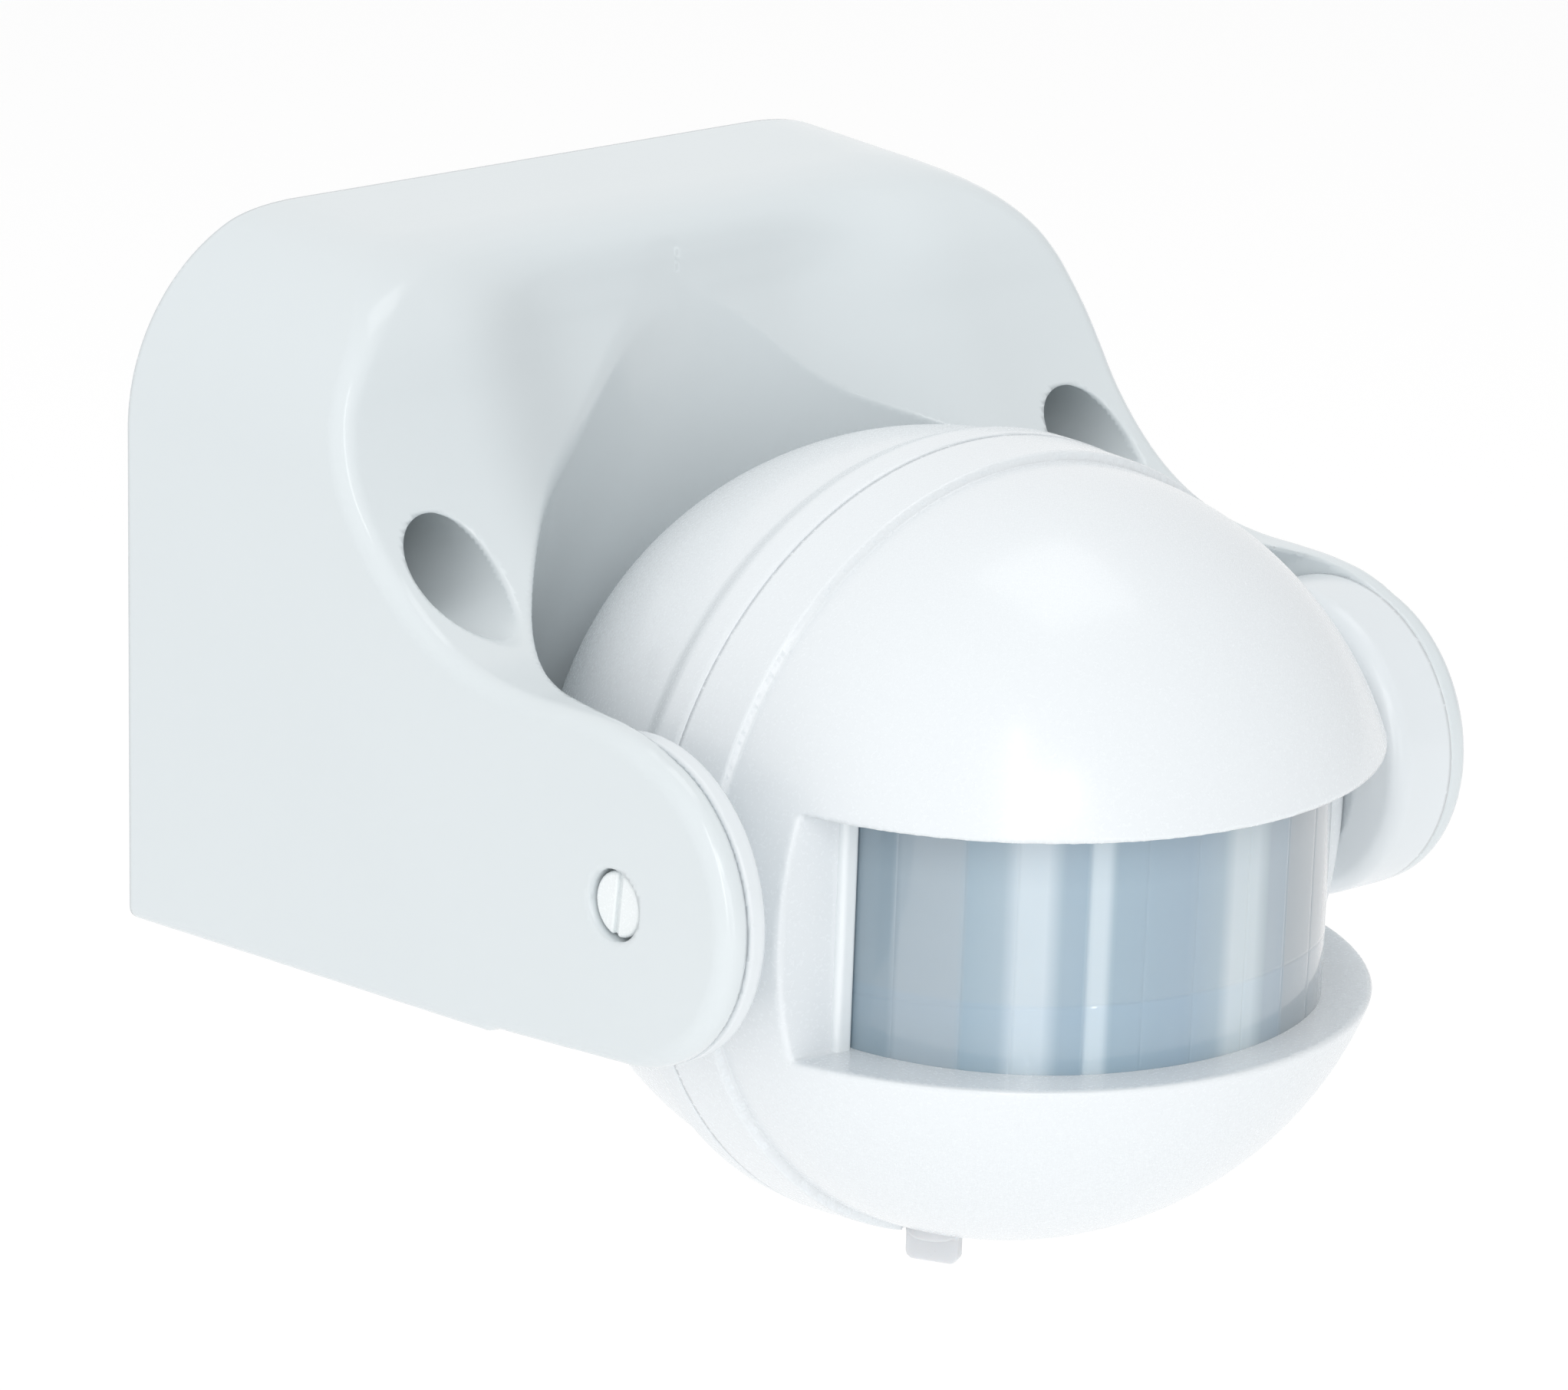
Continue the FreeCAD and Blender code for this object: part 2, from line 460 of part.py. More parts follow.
for k, x in enumerate(("-{terminal_pitch}/2", "{terminal_pitch}/2")):
    tb_tools.append(cyl_y("terminal_fix_way_%d" % k, "1.22", "20", x, "0", "{terminal_rise}"))
    f0 = cyl_y("terminal_fix_shank_%d" % k, "1.2", "{terminal_depth}+{plate_thickness}-0.5", x, "-0.5", "{terminal_rise}")
    f1 = cyl_y("terminal_fix_head_%d" % k, "2.1", "1.3", x, "-{plate_thickness}-{terminal_depth}", "{terminal_rise}")
    f2 = box("terminal_fix_slot_%d" % k, x + "-3", x + "+3", "-{plate_thickness}-{terminal_depth}-3",
             "-{plate_thickness}-{terminal_depth}-0.7", "{terminal_rise}-0.25", "{terminal_rise}+0.25")
    tb_fix.append(cut("terminal_fixing_%d" % k, fuse("terminal_fix_body_%d" % k, f0, f1), f2))
node("terminal_block", cut("terminal_block_solid", tb, *tb_tools))
node("terminal_clamps", compound("terminal_clamp_set", *tb_clamps))
node("terminal_screws", compound("terminal_screw_set", *tb_screws))
node("terminal_fixing_screws", compound("terminal_fixing_set", *tb_fix))

# cable strap above the grommet
SY = "-{plate_thickness}-4.6"
st0 = box("strap_bar", "-{strap_width}/2", "{strap_width}/2", SY + "-{strap_thickness}", SY, "{strap_rise}-{strap_height}/2",
          "{strap_rise}+{strap_height}/2")
st1 = box("strap_foot_left", "-{strap_width}/2", "-{strap_width}/2+6", SY, "-{plate_thickness}", "{strap_rise}-{strap_height}/2",
          "{strap_rise}+{strap_height}/2")
st2 = box("strap_foot_right", "{strap_width}/2-6", "{strap_width}/2", SY, "-{plate_thickness}", "{strap_rise}-{strap_height}/2",
          "{strap_rise}+{strap_height}/2")
st3 = [cyl_y("strap_hole_" + n, "1.32", "20", x, "0", "{strap_rise}") for n, x in (("left", "-{strap_width}/2+3"), ("right", "{strap_width}/2-3"))]
node("cable_strap", cut("cable_strap_solid", fuse("strap_body", st0, st1, st2), *st3))
strap_screws = []
for n, x in (("left", "-{strap_width}/2+3"), ("right", "{strap_width}/2-3")):
    a = cyl_y("strap_shank_" + n, "1.3", "4.1+{plate_thickness}+{strap_thickness}", x, "-0.5", "{strap_rise}")
    b = cyl_y("strap_head_" + n, "2.5", "1.6", x, SY + "-{strap_thickness}", "{strap_rise}")
    c = box("strap_slot_" + n, x + "-3", x + "+3", SY + "-{strap_thickness}-3", SY + "-{strap_thickness}-0.8", "{strap_rise}-0.35",
            "{strap_rise}+0.35")
    strap_screws.append(cut("strap_screw_" + n, fuse("strap_screw_body_" + n, a, b), c))
node("cable_strap_screws", compound("strap_screw_set", *strap_screws))


def cross_screw(name, x, y, z, head_r, head_h, shank_r, shank_l):
    # pan head towards -Y with a cross recess; the shank runs back towards the wall
    a = cyl_y(name + "_head", head_r, head_h, x, y, z)
    b = cyl_y(name + "_shank", shank_r, shank_l, x, "(%s)+(%s)" % (y, shank_l), z)
    c = box(name + "_slot_a", x + "-0.35", x + "+0.35", "(%s)-(%s)-1" % (y, head_h), "(%s)-(%s)+1.1" % (y, head_h), z + "-1.6", z + "+1.6")
    d = box(name + "_slot_b", x + "-1.6", x + "+1.6", "(%s)-(%s)-1" % (y, head_h), "(%s)-(%s)+1.1" % (y, head_h), z + "-0.35", z + "+0.35")
    return cut(name, fuse(name + "_body", a, b), c, d)


node("housing_screws", compound("housing_screw_set", *[
    cross_screw("housing_screw_" + n, x, "-{tunnel_floor}", "{tunnel_height}", "{housing_head_radius}", "{housing_head_height}",
                "{housing_screw_radius}", "{tunnel_floor}-0.4") for n, x in (("left", "-{tunnel_offset}"), ("right", "{tunnel_offset}"))]))


# ---------------------------------------------------------------- pivot screws
def pivot_screw(tag, sign):
    head = cyl_x("pivot_head_" + tag, "{screw_head_radius}", "{screw_head_height}",
                 SINK if sign > 0 else "-(" + SINK + ")-{screw_head_height}", "-{pivot_depth}", "-{pivot_drop}")
    shank = cyl_x("pivot_shank_" + tag, "{pivot_screw_radius}", SINK + "-{spigot_end}+0.6+0.01",
                  "{spigot_end}-0.6" if sign > 0 else "-(" + SINK + ")-0.01", "-{pivot_depth}", "-{pivot_drop}")
    x0 = SINK + "+{screw_head_height}-0.8" if sign > 0 else "-(" + SINK + ")-{screw_head_height}-3"
    x1 = SINK + "+{screw_head_height}+3" if sign > 0 else "-(" + SINK + ")-{screw_head_height}+0.8"
    slot = box("pivot_slot_" + tag, x0, x1, "-{pivot_depth}-0.5", "-{pivot_depth}+0.5", "-{pivot_drop}-4", "-{pivot_drop}+4")
    return cut("pivot_screw_" + tag + "_solid", fuse("pivot_screw_body_" + tag, head, shank), slot)


node("pivot_screw_left", pivot_screw("left", -1))
node("pivot_screw_right", pivot_screw("right", 1))

# ---------------------------------------------------------------- sensor head, in its own frame about the ball centre
# front shell: a half ball with a slightly larger band behind it
def shell_profile(outer_points, name):
    face = Part.Face(Part.Wire(Part.__sortEdges__(outer_points)))
    return raw(name, face)


def revolve_y(name, face_obj):
    rev = doc.addObject("Part::Revolution", name)
    rev.Source, rev.Axis, rev.Base, rev.Angle, rev.Solid = face_obj, V(0, 1, 0), V(0, 0, 0), 360.0, True
    return rev


R0, RB, BL, TS = G("head_radius"), G("band_radius"), G("band_length"), G("shell_thickness")


def line(a, b):
    return Part.LineSegment(V(*a), V(*b)).toShape()


def arc3(a, b, c):
    return Part.Arc(V(*a), V(*b), V(*c)).toShape()


s2 = math.sqrt(0.5)
ri = R0 - TS
fr = 0.45
front_face = shell_profile([
    arc3((0, -R0, 0), (R0 * s2, -R0 * s2, 0), (R0, 0, 0)),
    line((R0, 0, 0), (RB - fr, 0, 0)),
    arc3((RB - fr, 0, 0), (RB - fr + fr * s2, fr - fr * s2, 0), (RB, fr, 0)),
    line((RB, fr, 0), (RB, BL, 0)),
    line((RB, BL, 0), (ri, BL, 0)),
    line((ri, BL, 0), (ri, 0, 0)),
    arc3((ri, 0, 0), (ri * s2, -ri * s2, 0), (0, -ri, 0)),
    line((0, -ri, 0), (0, -R0, 0))], "front_shell_profile")
front_rev = revolve_y("front_shell_revolved", front_face)
slot_box = box("window_slot", "-60", "60", "-60", "-{jamb_depth}", "-{lip_height}", "{hood_height}")
ball = prim("Sphere", "head_ball", None, ("0", "0", "0"), Radius="{head_radius}-0.3")
sill_block = box("sill_block", "-34", "34", "-34", "-{jamb_depth}+{jamb_thickness}", "-{lip_height}-{sill_thickness}",
                 "{hood_height}+{sill_thickness}")
lens_way = cyl_z("lens_way", "{lens_radius}+0.05", "60", "0", "0", "-30")
sills = cut("window_sills", common("sill_ball", sill_block, ball), lens_way)
shell_open = cut("front_shell_open", front_rev, slot_box)
sills_open = cut("sills_open", sills, slot_box)
PY, PZL = "{pivot_back}", "{pivot_above}"
spigot_way = cyl_x("spigot_way", "{spigot_radius}+0.02", "120", "-60", PY, PZL)
knob_ways = [cyl_z("knob_way_" + n, "{knob_hole}", "40", x, "{knob_back}", "-50") for n, x in (("time", "-{knob_offset}"), ("lux", "{knob_offset}"))]
posts = []
POSTS = [("upper", 0.0, 24.4), ("lower_left", -18.6, -16.6), ("lower_right", 18.6, -16.6)]
for n, x, z in POSTS:
    posts.append(cyl_y("front_post_" + n, "2.6", "30", "%g" % x, "{band_length}", "%g" % z))
ball_full = prim("Sphere", "head_ball_full", None, ("0", "0", "0"), Radius="{head_radius}-0.5")
post_keep = common("front_posts", fuse("front_post_set", *posts), fuse("post_room", ball_full, cyl_y("post_band", "{band_radius}-1", "{band_length}+1", "0", "{band_length}", "0")))
for n, side in (("left", -1), ("right", 1)):
    posts.append(box("board_rib_" + n, "20.0" if side > 0 else "-31.5", "31.5" if side > 0 else "-20.0", "-3.5", "{board_front}", "-11.3", "-6.7"))
post_keep.Shapes[0].Shapes = posts
board_pilots = [cyl_y("board_pilot_" + n, "1.17", "5.5", x, "{board_front}+1", "-9") for n, x in (("left", "-22.5"), ("right", "22.5"))]
post_holes = board_pilots + [cyl_y("front_post_hole_" + n, "1.12", "9", "%g" % x, "{band_length}+1", "%g" % z) for n, x, z in POSTS]
front_shell = cut("front_shell_solid", fuse("front_shell_body", shell_open, sills_open, post_keep), spigot_way, *(knob_ways + post_holes))
node("head_front_shell", front_shell, head=True)

# rear shell: a dome that narrows from the band
DB, DR = G("dome_back"), G("dome_radius")
a0 = math.asin(min(1, (DR - 0.0) / DR))
di = DR - TS
DZ = G("dome_rise")
rm = RB - DZ - 0.06
t0 = 0.07
rear_face = shell_profile([
    line((0, DB + DR, 0), (0, DB + di, 0)),
    arc3((0, DB + di, 0), (di * s2, DB + di * s2, 0), (di, DB, 0)),
    line((di, DB, 0), (di, BL, 0)),
    line((di, BL, 0), (rm, BL, 0)),
    line((rm, BL, 0), (rm, BL + 2.8, 0)),
    line((rm, BL + 2.8, 0), (DR * math.cos(t0), DB + DR * math.sin(t0), 0)),
    arc3((DR * math.cos(t0), DB + DR * math.sin(t0), 0), (DR * math.cos(0.9), DB + DR * math.sin(0.9), 0), (0, DB + DR, 0))],
    "rear_shell_profile")
rear_rev = revolve_y("rear_shell_revolved", rear_face)
rear_rev.Base = V(0, 0, DZ)
bind(rear_face, Placement__Base__z="{dome_rise}")
bind(rear_rev, Base__z="{dome_rise}")
rear_ball = prim("Sphere", "rear_ball", None, ("0", "{dome_back}", "{dome_rise}"), Radius="{dome_radius}-0.4")
rear_posts = [cyl_y("rear_post_" + n, "3.6", "60", "%g" % x, "{band_length}+60", "%g" % z) for n, x, z in POSTS]
rear_post_keep = common("rear_posts", fuse("rear_post_set", *rear_posts), rear_ball)
rear_wells = [cyl_y("rear_well_" + n, "2.9", "60", "%g" % x, "{band_length}+3+60", "%g" % z) for n, x, z in POSTS]
rear_ways = [cyl_y("rear_way_" + n, "1.3", "60", "%g" % x, "{band_length}+50", "%g" % z) for n, x, z in POSTS]
rear_shell = cut("rear_shell_solid", fuse("rear_shell_body", rear_rev, rear_post_keep), *(rear_wells + rear_ways))
node("head_rear_shell", rear_shell, head=True)


def head_screw(n, x, z):
    y = G("band_length") + 3.0
    # pan head towards +Y
    a = cyl_y("head_screw_head_" + n, "2.5", "1.8", "%g" % x, "{band_length}+3+1.8", "%g" % z)
    b = cyl_y("head_screw_shank_" + n, "1.1", "9.9", "%g" % x, "{band_length}+3.01", "%g" % z)
    c = box("head_screw_slot_" + n, "%g-0.35" % x, "%g+0.35" % x, "{band_length}+3+0.9", "{band_length}+3+5", "%g-1.5" % z, "%g+1.5" % z)
    d = box("head_screw_slot2_" + n, "%g-1.5" % x, "%g+1.5" % x, "{band_length}+3+0.9", "{band_length}+3+5", "%g-0.35" % z, "%g+0.35" % z)
    return cut("head_screw_" + n, fuse("head_screw_body_" + n, a, b), c, d)


node("head_screws", compound("head_screw_set", *[head_screw(n, x, z) for n, x, z in POSTS]), head=True)

# seal in a step just inside the parting line
seal_ring = prim("Torus", "shell_seal_ring", Rotation(V(1, 0, 0), 90), ("0", "{band_length}+0.9", "0"), Radius1="{dome_radius}-{shell_thickness}-{dome_rise}-0.72",
                 Radius2="0.7")
node("shell_seal", seal_ring, head=True)

# trunnions: a flared disc outside each flank and a spigot through the shell
head_keep = fuse("head_envelope", prim("Sphere", "env_ball", None, ("0", "0", "0"), Radius="{head_radius}+0.02"),
                 cyl_y("env_band", "{band_radius}+0.02", "{band_length}+5.5", "0", "{band_length}+5.5", "0"),
                 prim("Sphere", "env_dome", None, ("0", "{dome_back}", "{dome_rise}"), Radius="{dome_radius}+0.25"))
DISC_X = "{ear_inner}-{trunnion_gap}"


def trunnion(tag, sign):
    body = make_body("trunnion_body_" + tag)
    sk = sketch(body, "trunnion_outline_" + tag, "XY_Plane")
    x = lambda t: t if sign > 0 else "-(" + t + ")"
    if sign < 0:
        flare = [(x(DISC_X + "-5.8"), "{neck_radius}"), (x(DISC_X + "-1.9"), "{neck_radius}+0.6"), (x(DISC_X + "-1.1"), "{ear_radius}-1.2"), (x(DISC_X + "-{trunnion_disc}"), "{ear_radius}-0.1")]
    else:
        flare = [(x(DISC_X + "-6.6"), "{neck_radius}"), (x(DISC_X + "-6.0"), "{neck_radius}+1.2"), (x(DISC_X + "-5.5"), "{ear_radius}-1.1"), (x(DISC_X + "-4.5"), "{ear_radius}-0.1")]
    polygon(sk, [(x("24"), "0"), (x("24"), "{neck_radius}")] + flare + [
        (x(DISC_X + "-0.2"), "{ear_radius}-0.1"), (x(DISC_X), "{ear_radius}-0.3"), (x(DISC_X), "0")])
    rev = body.newObject("PartDesign::Revolution", "trunnion_revolve_" + tag)
    rev.Profile, rev.ReferenceAxis, rev.Angle = sk, (sk, ["H_Axis"]), 360.0
    bind(body, Placement__Base__y=PY, Placement__Base__z=PZL)
    outside = cut("trunnion_outside_" + tag, body, head_keep)
    spigot = cyl_x("trunnion_spigot_" + tag, "{spigot_radius}", "6.5", "{spigot_end}" if sign > 0 else "-{spigot_end}-6.5", PY, PZL)
    bore = cyl_x("trunnion_bore_" + tag, "{pivot_bore_radius}", "60", "10" if sign > 0 else "-70", PY, PZL)
    pocket = prim("Prism", "nut_pocket_" + tag, ROT_X, ("{spigot_end}-1" if sign > 0 else "-{spigot_end}-{nut_height}-0.1", PY, PZL),
                  Circumradius="{nut_flat}/sqrt(3)+0.05", Height="{nut_height}+1.1")
    return cut("trunnion_%s_solid" % tag, fuse("trunnion_whole_" + tag, outside, spigot), bore, pocket)


node("trunnion_left", trunnion("left", -1), head=True)
node("trunnion_right", trunnion("right", 1), head=True)
nuts = []
for tag, x in (("left", "-{spigot_end}-{nut_height}"), ("right", "{spigot_end}")):
    a = prim("Prism", "nut_hex_" + tag, ROT_X, (x, PY, PZL), Circumradius="{nut_flat}/sqrt(3)", Height="{nut_height}")
    b = cyl_x("nut_bore_" + tag, "{pivot_bore_radius}", "60", "10" if tag == "right" else "-70", PY, PZL)
    nuts.append(cut("pivot_nut_" + tag, a, b))
node("pivot_nuts", compound("pivot_nut_set", *nuts), head=True)

# lens: a curved sheet behind the window, and the frame that holds it
def ring_sector(name, outer_r, inner_r, z0, z1, half_angle):
    a = cyl_z(name + "_outer", outer_r, "(%s)-(%s)" % (z1, z0), "0", "0", z0)
    b = cyl_z(name + "_inner", inner_r, "(%s)-(%s)+2" % (z1, z0), "0", "0", "(%s)-1" % z0)
    half = math.radians(G("lens_angle") + half_angle)
    pts = [V(0, 0, -40), V(-60 * math.sin(half), -60 * math.cos(half), -40), V(-60, -60, -40), V(60, -60, -40),
           V(60 * math.sin(half), -60 * math.cos(half), -40), V(0, 0, -40)]
    wedge = raw(name + "_wedge_face", Part.Face(Part.makePolygon(pts)))
    w = extrude(name + "_wedge", wedge, (0, 0, 1), "80")
    return common(name + "_sector", cut(name + "_ring", a, b), w)


lens = ring_sector("lens_sheet", "{lens_radius}", "{lens_radius}-{lens_thickness}", "-{lens_below}", "{lens_above}", 0.0)
node("fresnel_lens", lens, head=True)
frame_sector = ring_sector("frame_band", "{lens_radius}-{lens_thickness}-0.1", "{lens_radius}-{lens_thickness}-1.6", "-{lens_below}-1.2",
                           "{lens_above}+1.2", 3.4)
frame_window = box("frame_window", "-60", "60", "-60", "-{jamb_depth}-0.9", "-{lip_height}-0.3", "{hood_height}+0.3")
post_l = box("frame_post_left", "-{lens_radius}+0.4", "-{lens_radius}+2.0", "-{jamb_depth}-1.6", "-{jamb_depth}+1.2", "-{lip_height}+0.05",
             "{hood_height}-0.05")
post_r = box("frame_post_right", "{lens_radius}-2.0", "{lens_radius}-0.4", "-{jamb_depth}-1.6", "-{jamb_depth}+1.2", "-{lip_height}+0.05",
             "{hood_height}-0.05")
webs = [box("frame_web_" + n, a, b, "-{jamb_depth}-1.0", "-{jamb_depth}+1.2", "-{lip_height}+0.05", "{hood_height}-0.05")
        for n, a, b in (("left", "-{lens_radius}+1.8", "-{lens_radius}+3.0"), ("right", "{lens_radius}-3.0", "{lens_radius}-1.8"))]
lens_room = ring_sector("lens_room", "{lens_radius}+0.02", "{lens_radius}-{lens_thickness}-0.02", "-20", "20", 0.2)
frame_all = cut("lens_frame_solid", fuse("lens_frame_body", cut("frame_band_open", frame_sector, frame_window), post_l, post_r, *webs), lens_room, sills_open)
node("lens_frame", frame_all, head=True)

# circuit board and what it carries
board = cyl_y("board_disc", "{board_radius}", "{board_thickness}", "0", "{board_front}+{board_thickness}", "0")
board_trim = [box("board_trim_bottom", "-40", "40", "0", "10", "-40", "-24.5"), box("board_trim_top", "-40", "40", "0", "10", "22.5", "40")]
board_notch = [cyl_y("board_notch_" + n, "3.3", "20", "%g" % x, "10", "%g" % z) for n, x, z in POSTS]
board_holes = [cyl_y("board_hole_" + n, "1.2", "20", x, "10", "-9") for n, x in (("left", "-22.5"), ("right", "22.5"))]
node("main_board", cut("main_board_solid", board, *(board_trim + board_notch + board_holes)), head=True)
board_posts = []
BF = "{board_front}"
BB = "{board_front}+{board_thickness}"
can = cyl_y("pir_can", "{can_radius}", "{can_height}", "0", BF + "-{can_gap}", "0")
can_rim = cyl_y("pir_rim", "{can_radius}+0.5", "0.6", "0", BF + "-{can_gap}", "0")
can_window = box("pir_window", "-2.0", "2.0", BF + "-{can_gap}-{can_height}-0.2", BF + "-{can_gap}-{can_height}+0.25", "-1.5", "1.5")
legs = [cyl_y("pir_leg_%d" % k, "0.24", "{can_gap}", "%g" % (2.5 * math.cos(t)), BF, "%g" % (2.5 * math.sin(t)))
        for k, t in enumerate((0.8, 2.4, 4.7))]
node("pir_sensor", fuse("pir_sensor_solid", cut("pir_can_cut", fuse("pir_can_body", can, can_rim), can_window), *legs), head=True)
shade = cut("sensor_shade_solid", prim("Cone", "shade_cone", ROT_Y, ("0", BF, "0"), Radius1="{shade_radius}+1.2", Radius2="{shade_radius}", Height="4.6"),
            cyl_y("shade_bore", "{can_radius}+0.7", "20", "0", "10", "0"))
node("sensor_shade", shade, head=True)
relay_box = box("relay_box", "-9.5", "-9.5+{relay_width}", BB, BB + "+{relay_depth}", "-1", "-1+{relay_height}")
node("relay", relay_box, head=True)
film = box("film_box", "-15", "-2", BB, BB + "+11", "-10.5", "-4.5")
node("film_capacitor", film, head=True)
caps = [cyl_y("electrolytic_" + n, r, hgt, x, BB + "+" + hgt, z)
        for n, r, hgt, x, z in (("main", "4", "12", "8", "-10"), ("small", "2.5", "8", "16", "-2"))]
node("electrolytic_capacitors", compound("electrolytic_set", *caps), head=True)
chip = box("chip_box", "-19", "-14.5", BB, BB + "+1.8", "2", "12")
node("driver_chip", chip, head=True)
resist = [cyl_x("resistor_%d" % k, "1.2", "7", "11.5", BB + "+1.4", "%g" % z) for k, z in enumerate((6.0, 9.6, 13.2))]
node("resistors", compound("resistor_set", *resist), head=True)
led = fuse("led_body", cyl_y("led_tube", "1.5", "4.4", "11", BF, "7.5"), cyl_y("led_rim", "1.9", "1", "11", BF, "7.5"),
           prim("Sphere", "led_dome", None, ("11", BF + "-4.4", "7.5"), Radius="1.5"))
node("status_led", led, head=True)
cell = fuse("cell_body", cyl_y("cell_disc", "2.5", "2.0", "-12", BF + "-1.0", "-6"), cyl_y("cell_leg_a", "0.25", "1.2", "-13.2", BF, "-6"),
            cyl_y("cell_leg_b", "0.25", "1.2", "-10.8", BF, "-6"))
node("light_cell", cell, head=True)

# adjusters: potentiometer bodies behind the board's lower edge and knobs through the shell
for n, x in (("time", "-{knob_offset}"), ("lux", "{knob_offset}")):
    pot = cut("pot_cut_" + n, box("pot_box_" + n, x + "-4.3", x + "+4.3", "-4.4", "{board_front}", "-{knob_top}-1.5", "-{knob_top}+3.5"),
              cyl_z("pot_way_" + n, "{knob_radius}+0.05", "20", x, "{knob_back}", "-{knob_top}-19.9"))
    node(n + "_potentiometer", pot, head=True)
    shaft = cyl_z("knob_shaft_" + n, "{knob_radius}", "{knob_stem}-{knob_top}", x, "{knob_back}", "-{knob_stem}")
    # flat thumb blade under the stem
    blade = prim("Box", "knob_blade_" + n, Rotation(V(0, 0, 1), 30), (None, None, "-{knob_bottom}"), Length="{knob_blade}", Width="2*{knob_radius}",
                 Height="{knob_bottom}-{knob_stem}+0.6")
    c, t = math.cos(math.radians(30)), math.sin(math.radians(30))
    bind(blade, Placement__Base__x="%s-({knob_blade}/2*%.9f-{knob_radius}*%.9f)" % (x, c, t), Placement__Base__y="{knob_back}-({knob_blade}/2*%.9f+{knob_radius}*%.9f)" % (t, c))
    node(n + "_knob", fuse("knob_solid_" + n, shaft, common("knob_blade_round_" + n, blade, cyl_z("knob_turn_" + n, "{knob_radius}", "20", x, "{knob_back}", "-{knob_bottom}-1"))), head=True)
screws = []
for n, x in (("left", "-22.5"), ("right", "22.5")):
    a = cyl_y("board_screw_head_" + n, "2.1", "1.4", x, BB + "+1.4", "-9")
    b = cyl_y("board_screw_shank_" + n, "1.15", "5.0", x, BB + "+0.01", "-9")
    c = box("board_screw_slot_" + n, x + "-1.4", x + "+1.4", BB + "+0.8", BB + "+4", "-9.3", "-8.7")
    screws.append(cut("board_screw_" + n, fuse("board_screw_body_" + n, a, b), c))
node("board_screws", compound("board_screw_set", *screws), head=True)

# ---------------------------------------------------------------- check and write
doc.recompute()
bad = [o.Name for o in doc.Objects if "Invalid" in o.State or "Error" in o.State]
for name, obj in NODES.items():
    if obj.Shape.isNull() or not obj.Shape.isValid() or not obj.Shape.Solids:
        bad.append(name)
if bad:
    raise RuntimeError("failed features: " + ", ".join(bad))
os.makedirs("parts", exist_ok=True)
for name, obj in NODES.items():
    bb = obj.Shape.BoundBox
    print("%-24s %2d solids %9.1f mm3  x %6.1f %6.1f  y %6.1f %6.1f  z %6.1f %6.1f" % (
        name, len(obj.Shape.Solids), obj.Shape.Volume, bb.XMin, bb.XMax, bb.YMin, bb.YMax, bb.ZMin, bb.ZMax))
    obj.Shape.exportStep("parts/%s.step" % name)
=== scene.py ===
import math
import bpy
import numpy as np
from mathutils import Matrix, Vector


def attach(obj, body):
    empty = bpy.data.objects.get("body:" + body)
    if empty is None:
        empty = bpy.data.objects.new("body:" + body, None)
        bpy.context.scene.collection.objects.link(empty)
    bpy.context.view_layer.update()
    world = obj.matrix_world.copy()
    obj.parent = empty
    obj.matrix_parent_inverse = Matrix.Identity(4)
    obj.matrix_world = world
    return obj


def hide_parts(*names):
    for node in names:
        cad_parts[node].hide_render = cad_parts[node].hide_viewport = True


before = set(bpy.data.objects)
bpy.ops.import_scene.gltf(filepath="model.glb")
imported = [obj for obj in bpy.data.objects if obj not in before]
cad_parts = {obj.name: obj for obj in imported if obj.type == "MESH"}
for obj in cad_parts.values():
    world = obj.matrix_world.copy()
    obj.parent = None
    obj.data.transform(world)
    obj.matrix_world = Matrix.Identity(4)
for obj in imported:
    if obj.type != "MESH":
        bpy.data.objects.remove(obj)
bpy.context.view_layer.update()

MM = 0.001
TILT = math.radians(1.4)
CT, ST = math.cos(TILT), math.sin(TILT)
PIVOT = np.array([0.0, -64.0, -12.8])
BALL = np.array([0.0, -64.0 - (0.75 * CT - 2.8 * ST), -12.8 - (0.75 * ST + 2.8 * CT)])


def head_to_world(p):
    # head-local millimetres to row millimetres
    q = np.empty_like(p)
    q[:, 0] = p[:, 0]
    q[:, 1] = BALL[1] + p[:, 1] * CT - p[:, 2] * ST
    q[:, 2] = BALL[2] + p[:, 1] * ST + p[:, 2] * CT
    return q


def turn_head(n):
    q = np.empty_like(n)
    q[:, 0] = n[:, 0]
    q[:, 1] = n[:, 1] * CT - n[:, 2] * ST
    q[:, 2] = n[:, 1] * ST + n[:, 2] * CT
    return q


# ------------------------------------------------------------------ camera
def make_camera():
    a, e, r = math.radians(-41.4), math.radians(16.29), math.radians(1.11)
    back = Vector((math.sin(a) * math.cos(e), -math.cos(a) * math.cos(e), math.sin(e)))
    right = Vector((math.cos(a), math.sin(a), 0.0))
    up = back.cross(right)
    R0 = right * math.cos(r) + up * math.sin(r)
    R1 = -right * math.sin(r) + up * math.cos(r)
    target = Vector((0, -60, -5)) + R0 * -15.9 + R1 * 1.42
    eye = (target + back * 700) * MM
    m = Matrix(((R0.x, R1.x, back.x, eye.x), (R0.y, R1.y, back.y, eye.y), (R0.z, R1.z, back.z, eye.z), (0, 0, 0, 1)))
    cam = bpy.data.cameras.new("camera")
    cam.sensor_fit = "HORIZONTAL"
    cam.sensor_width = 36.0
    cam.lens = 36.0 * 15.43 * 700 / 2044
    cam.clip_start, cam.clip_end = 0.05, 20.0
    obj = bpy.data.objects.new("camera", cam)
    bpy.context.scene.collection.objects.link(obj)
    obj.matrix_world = m
    bpy.context.scene.camera = obj


make_camera()

# ------------------------------------------------------------------ implicit shapes
def fit_min(*v):
    out = v[0]
    for x in v[1:]:
        out = np.minimum(out, x)
    return out


def fit_max(*v):
    out = v[0]
    for x in v[1:]:
        out = np.maximum(out, x)
    return out


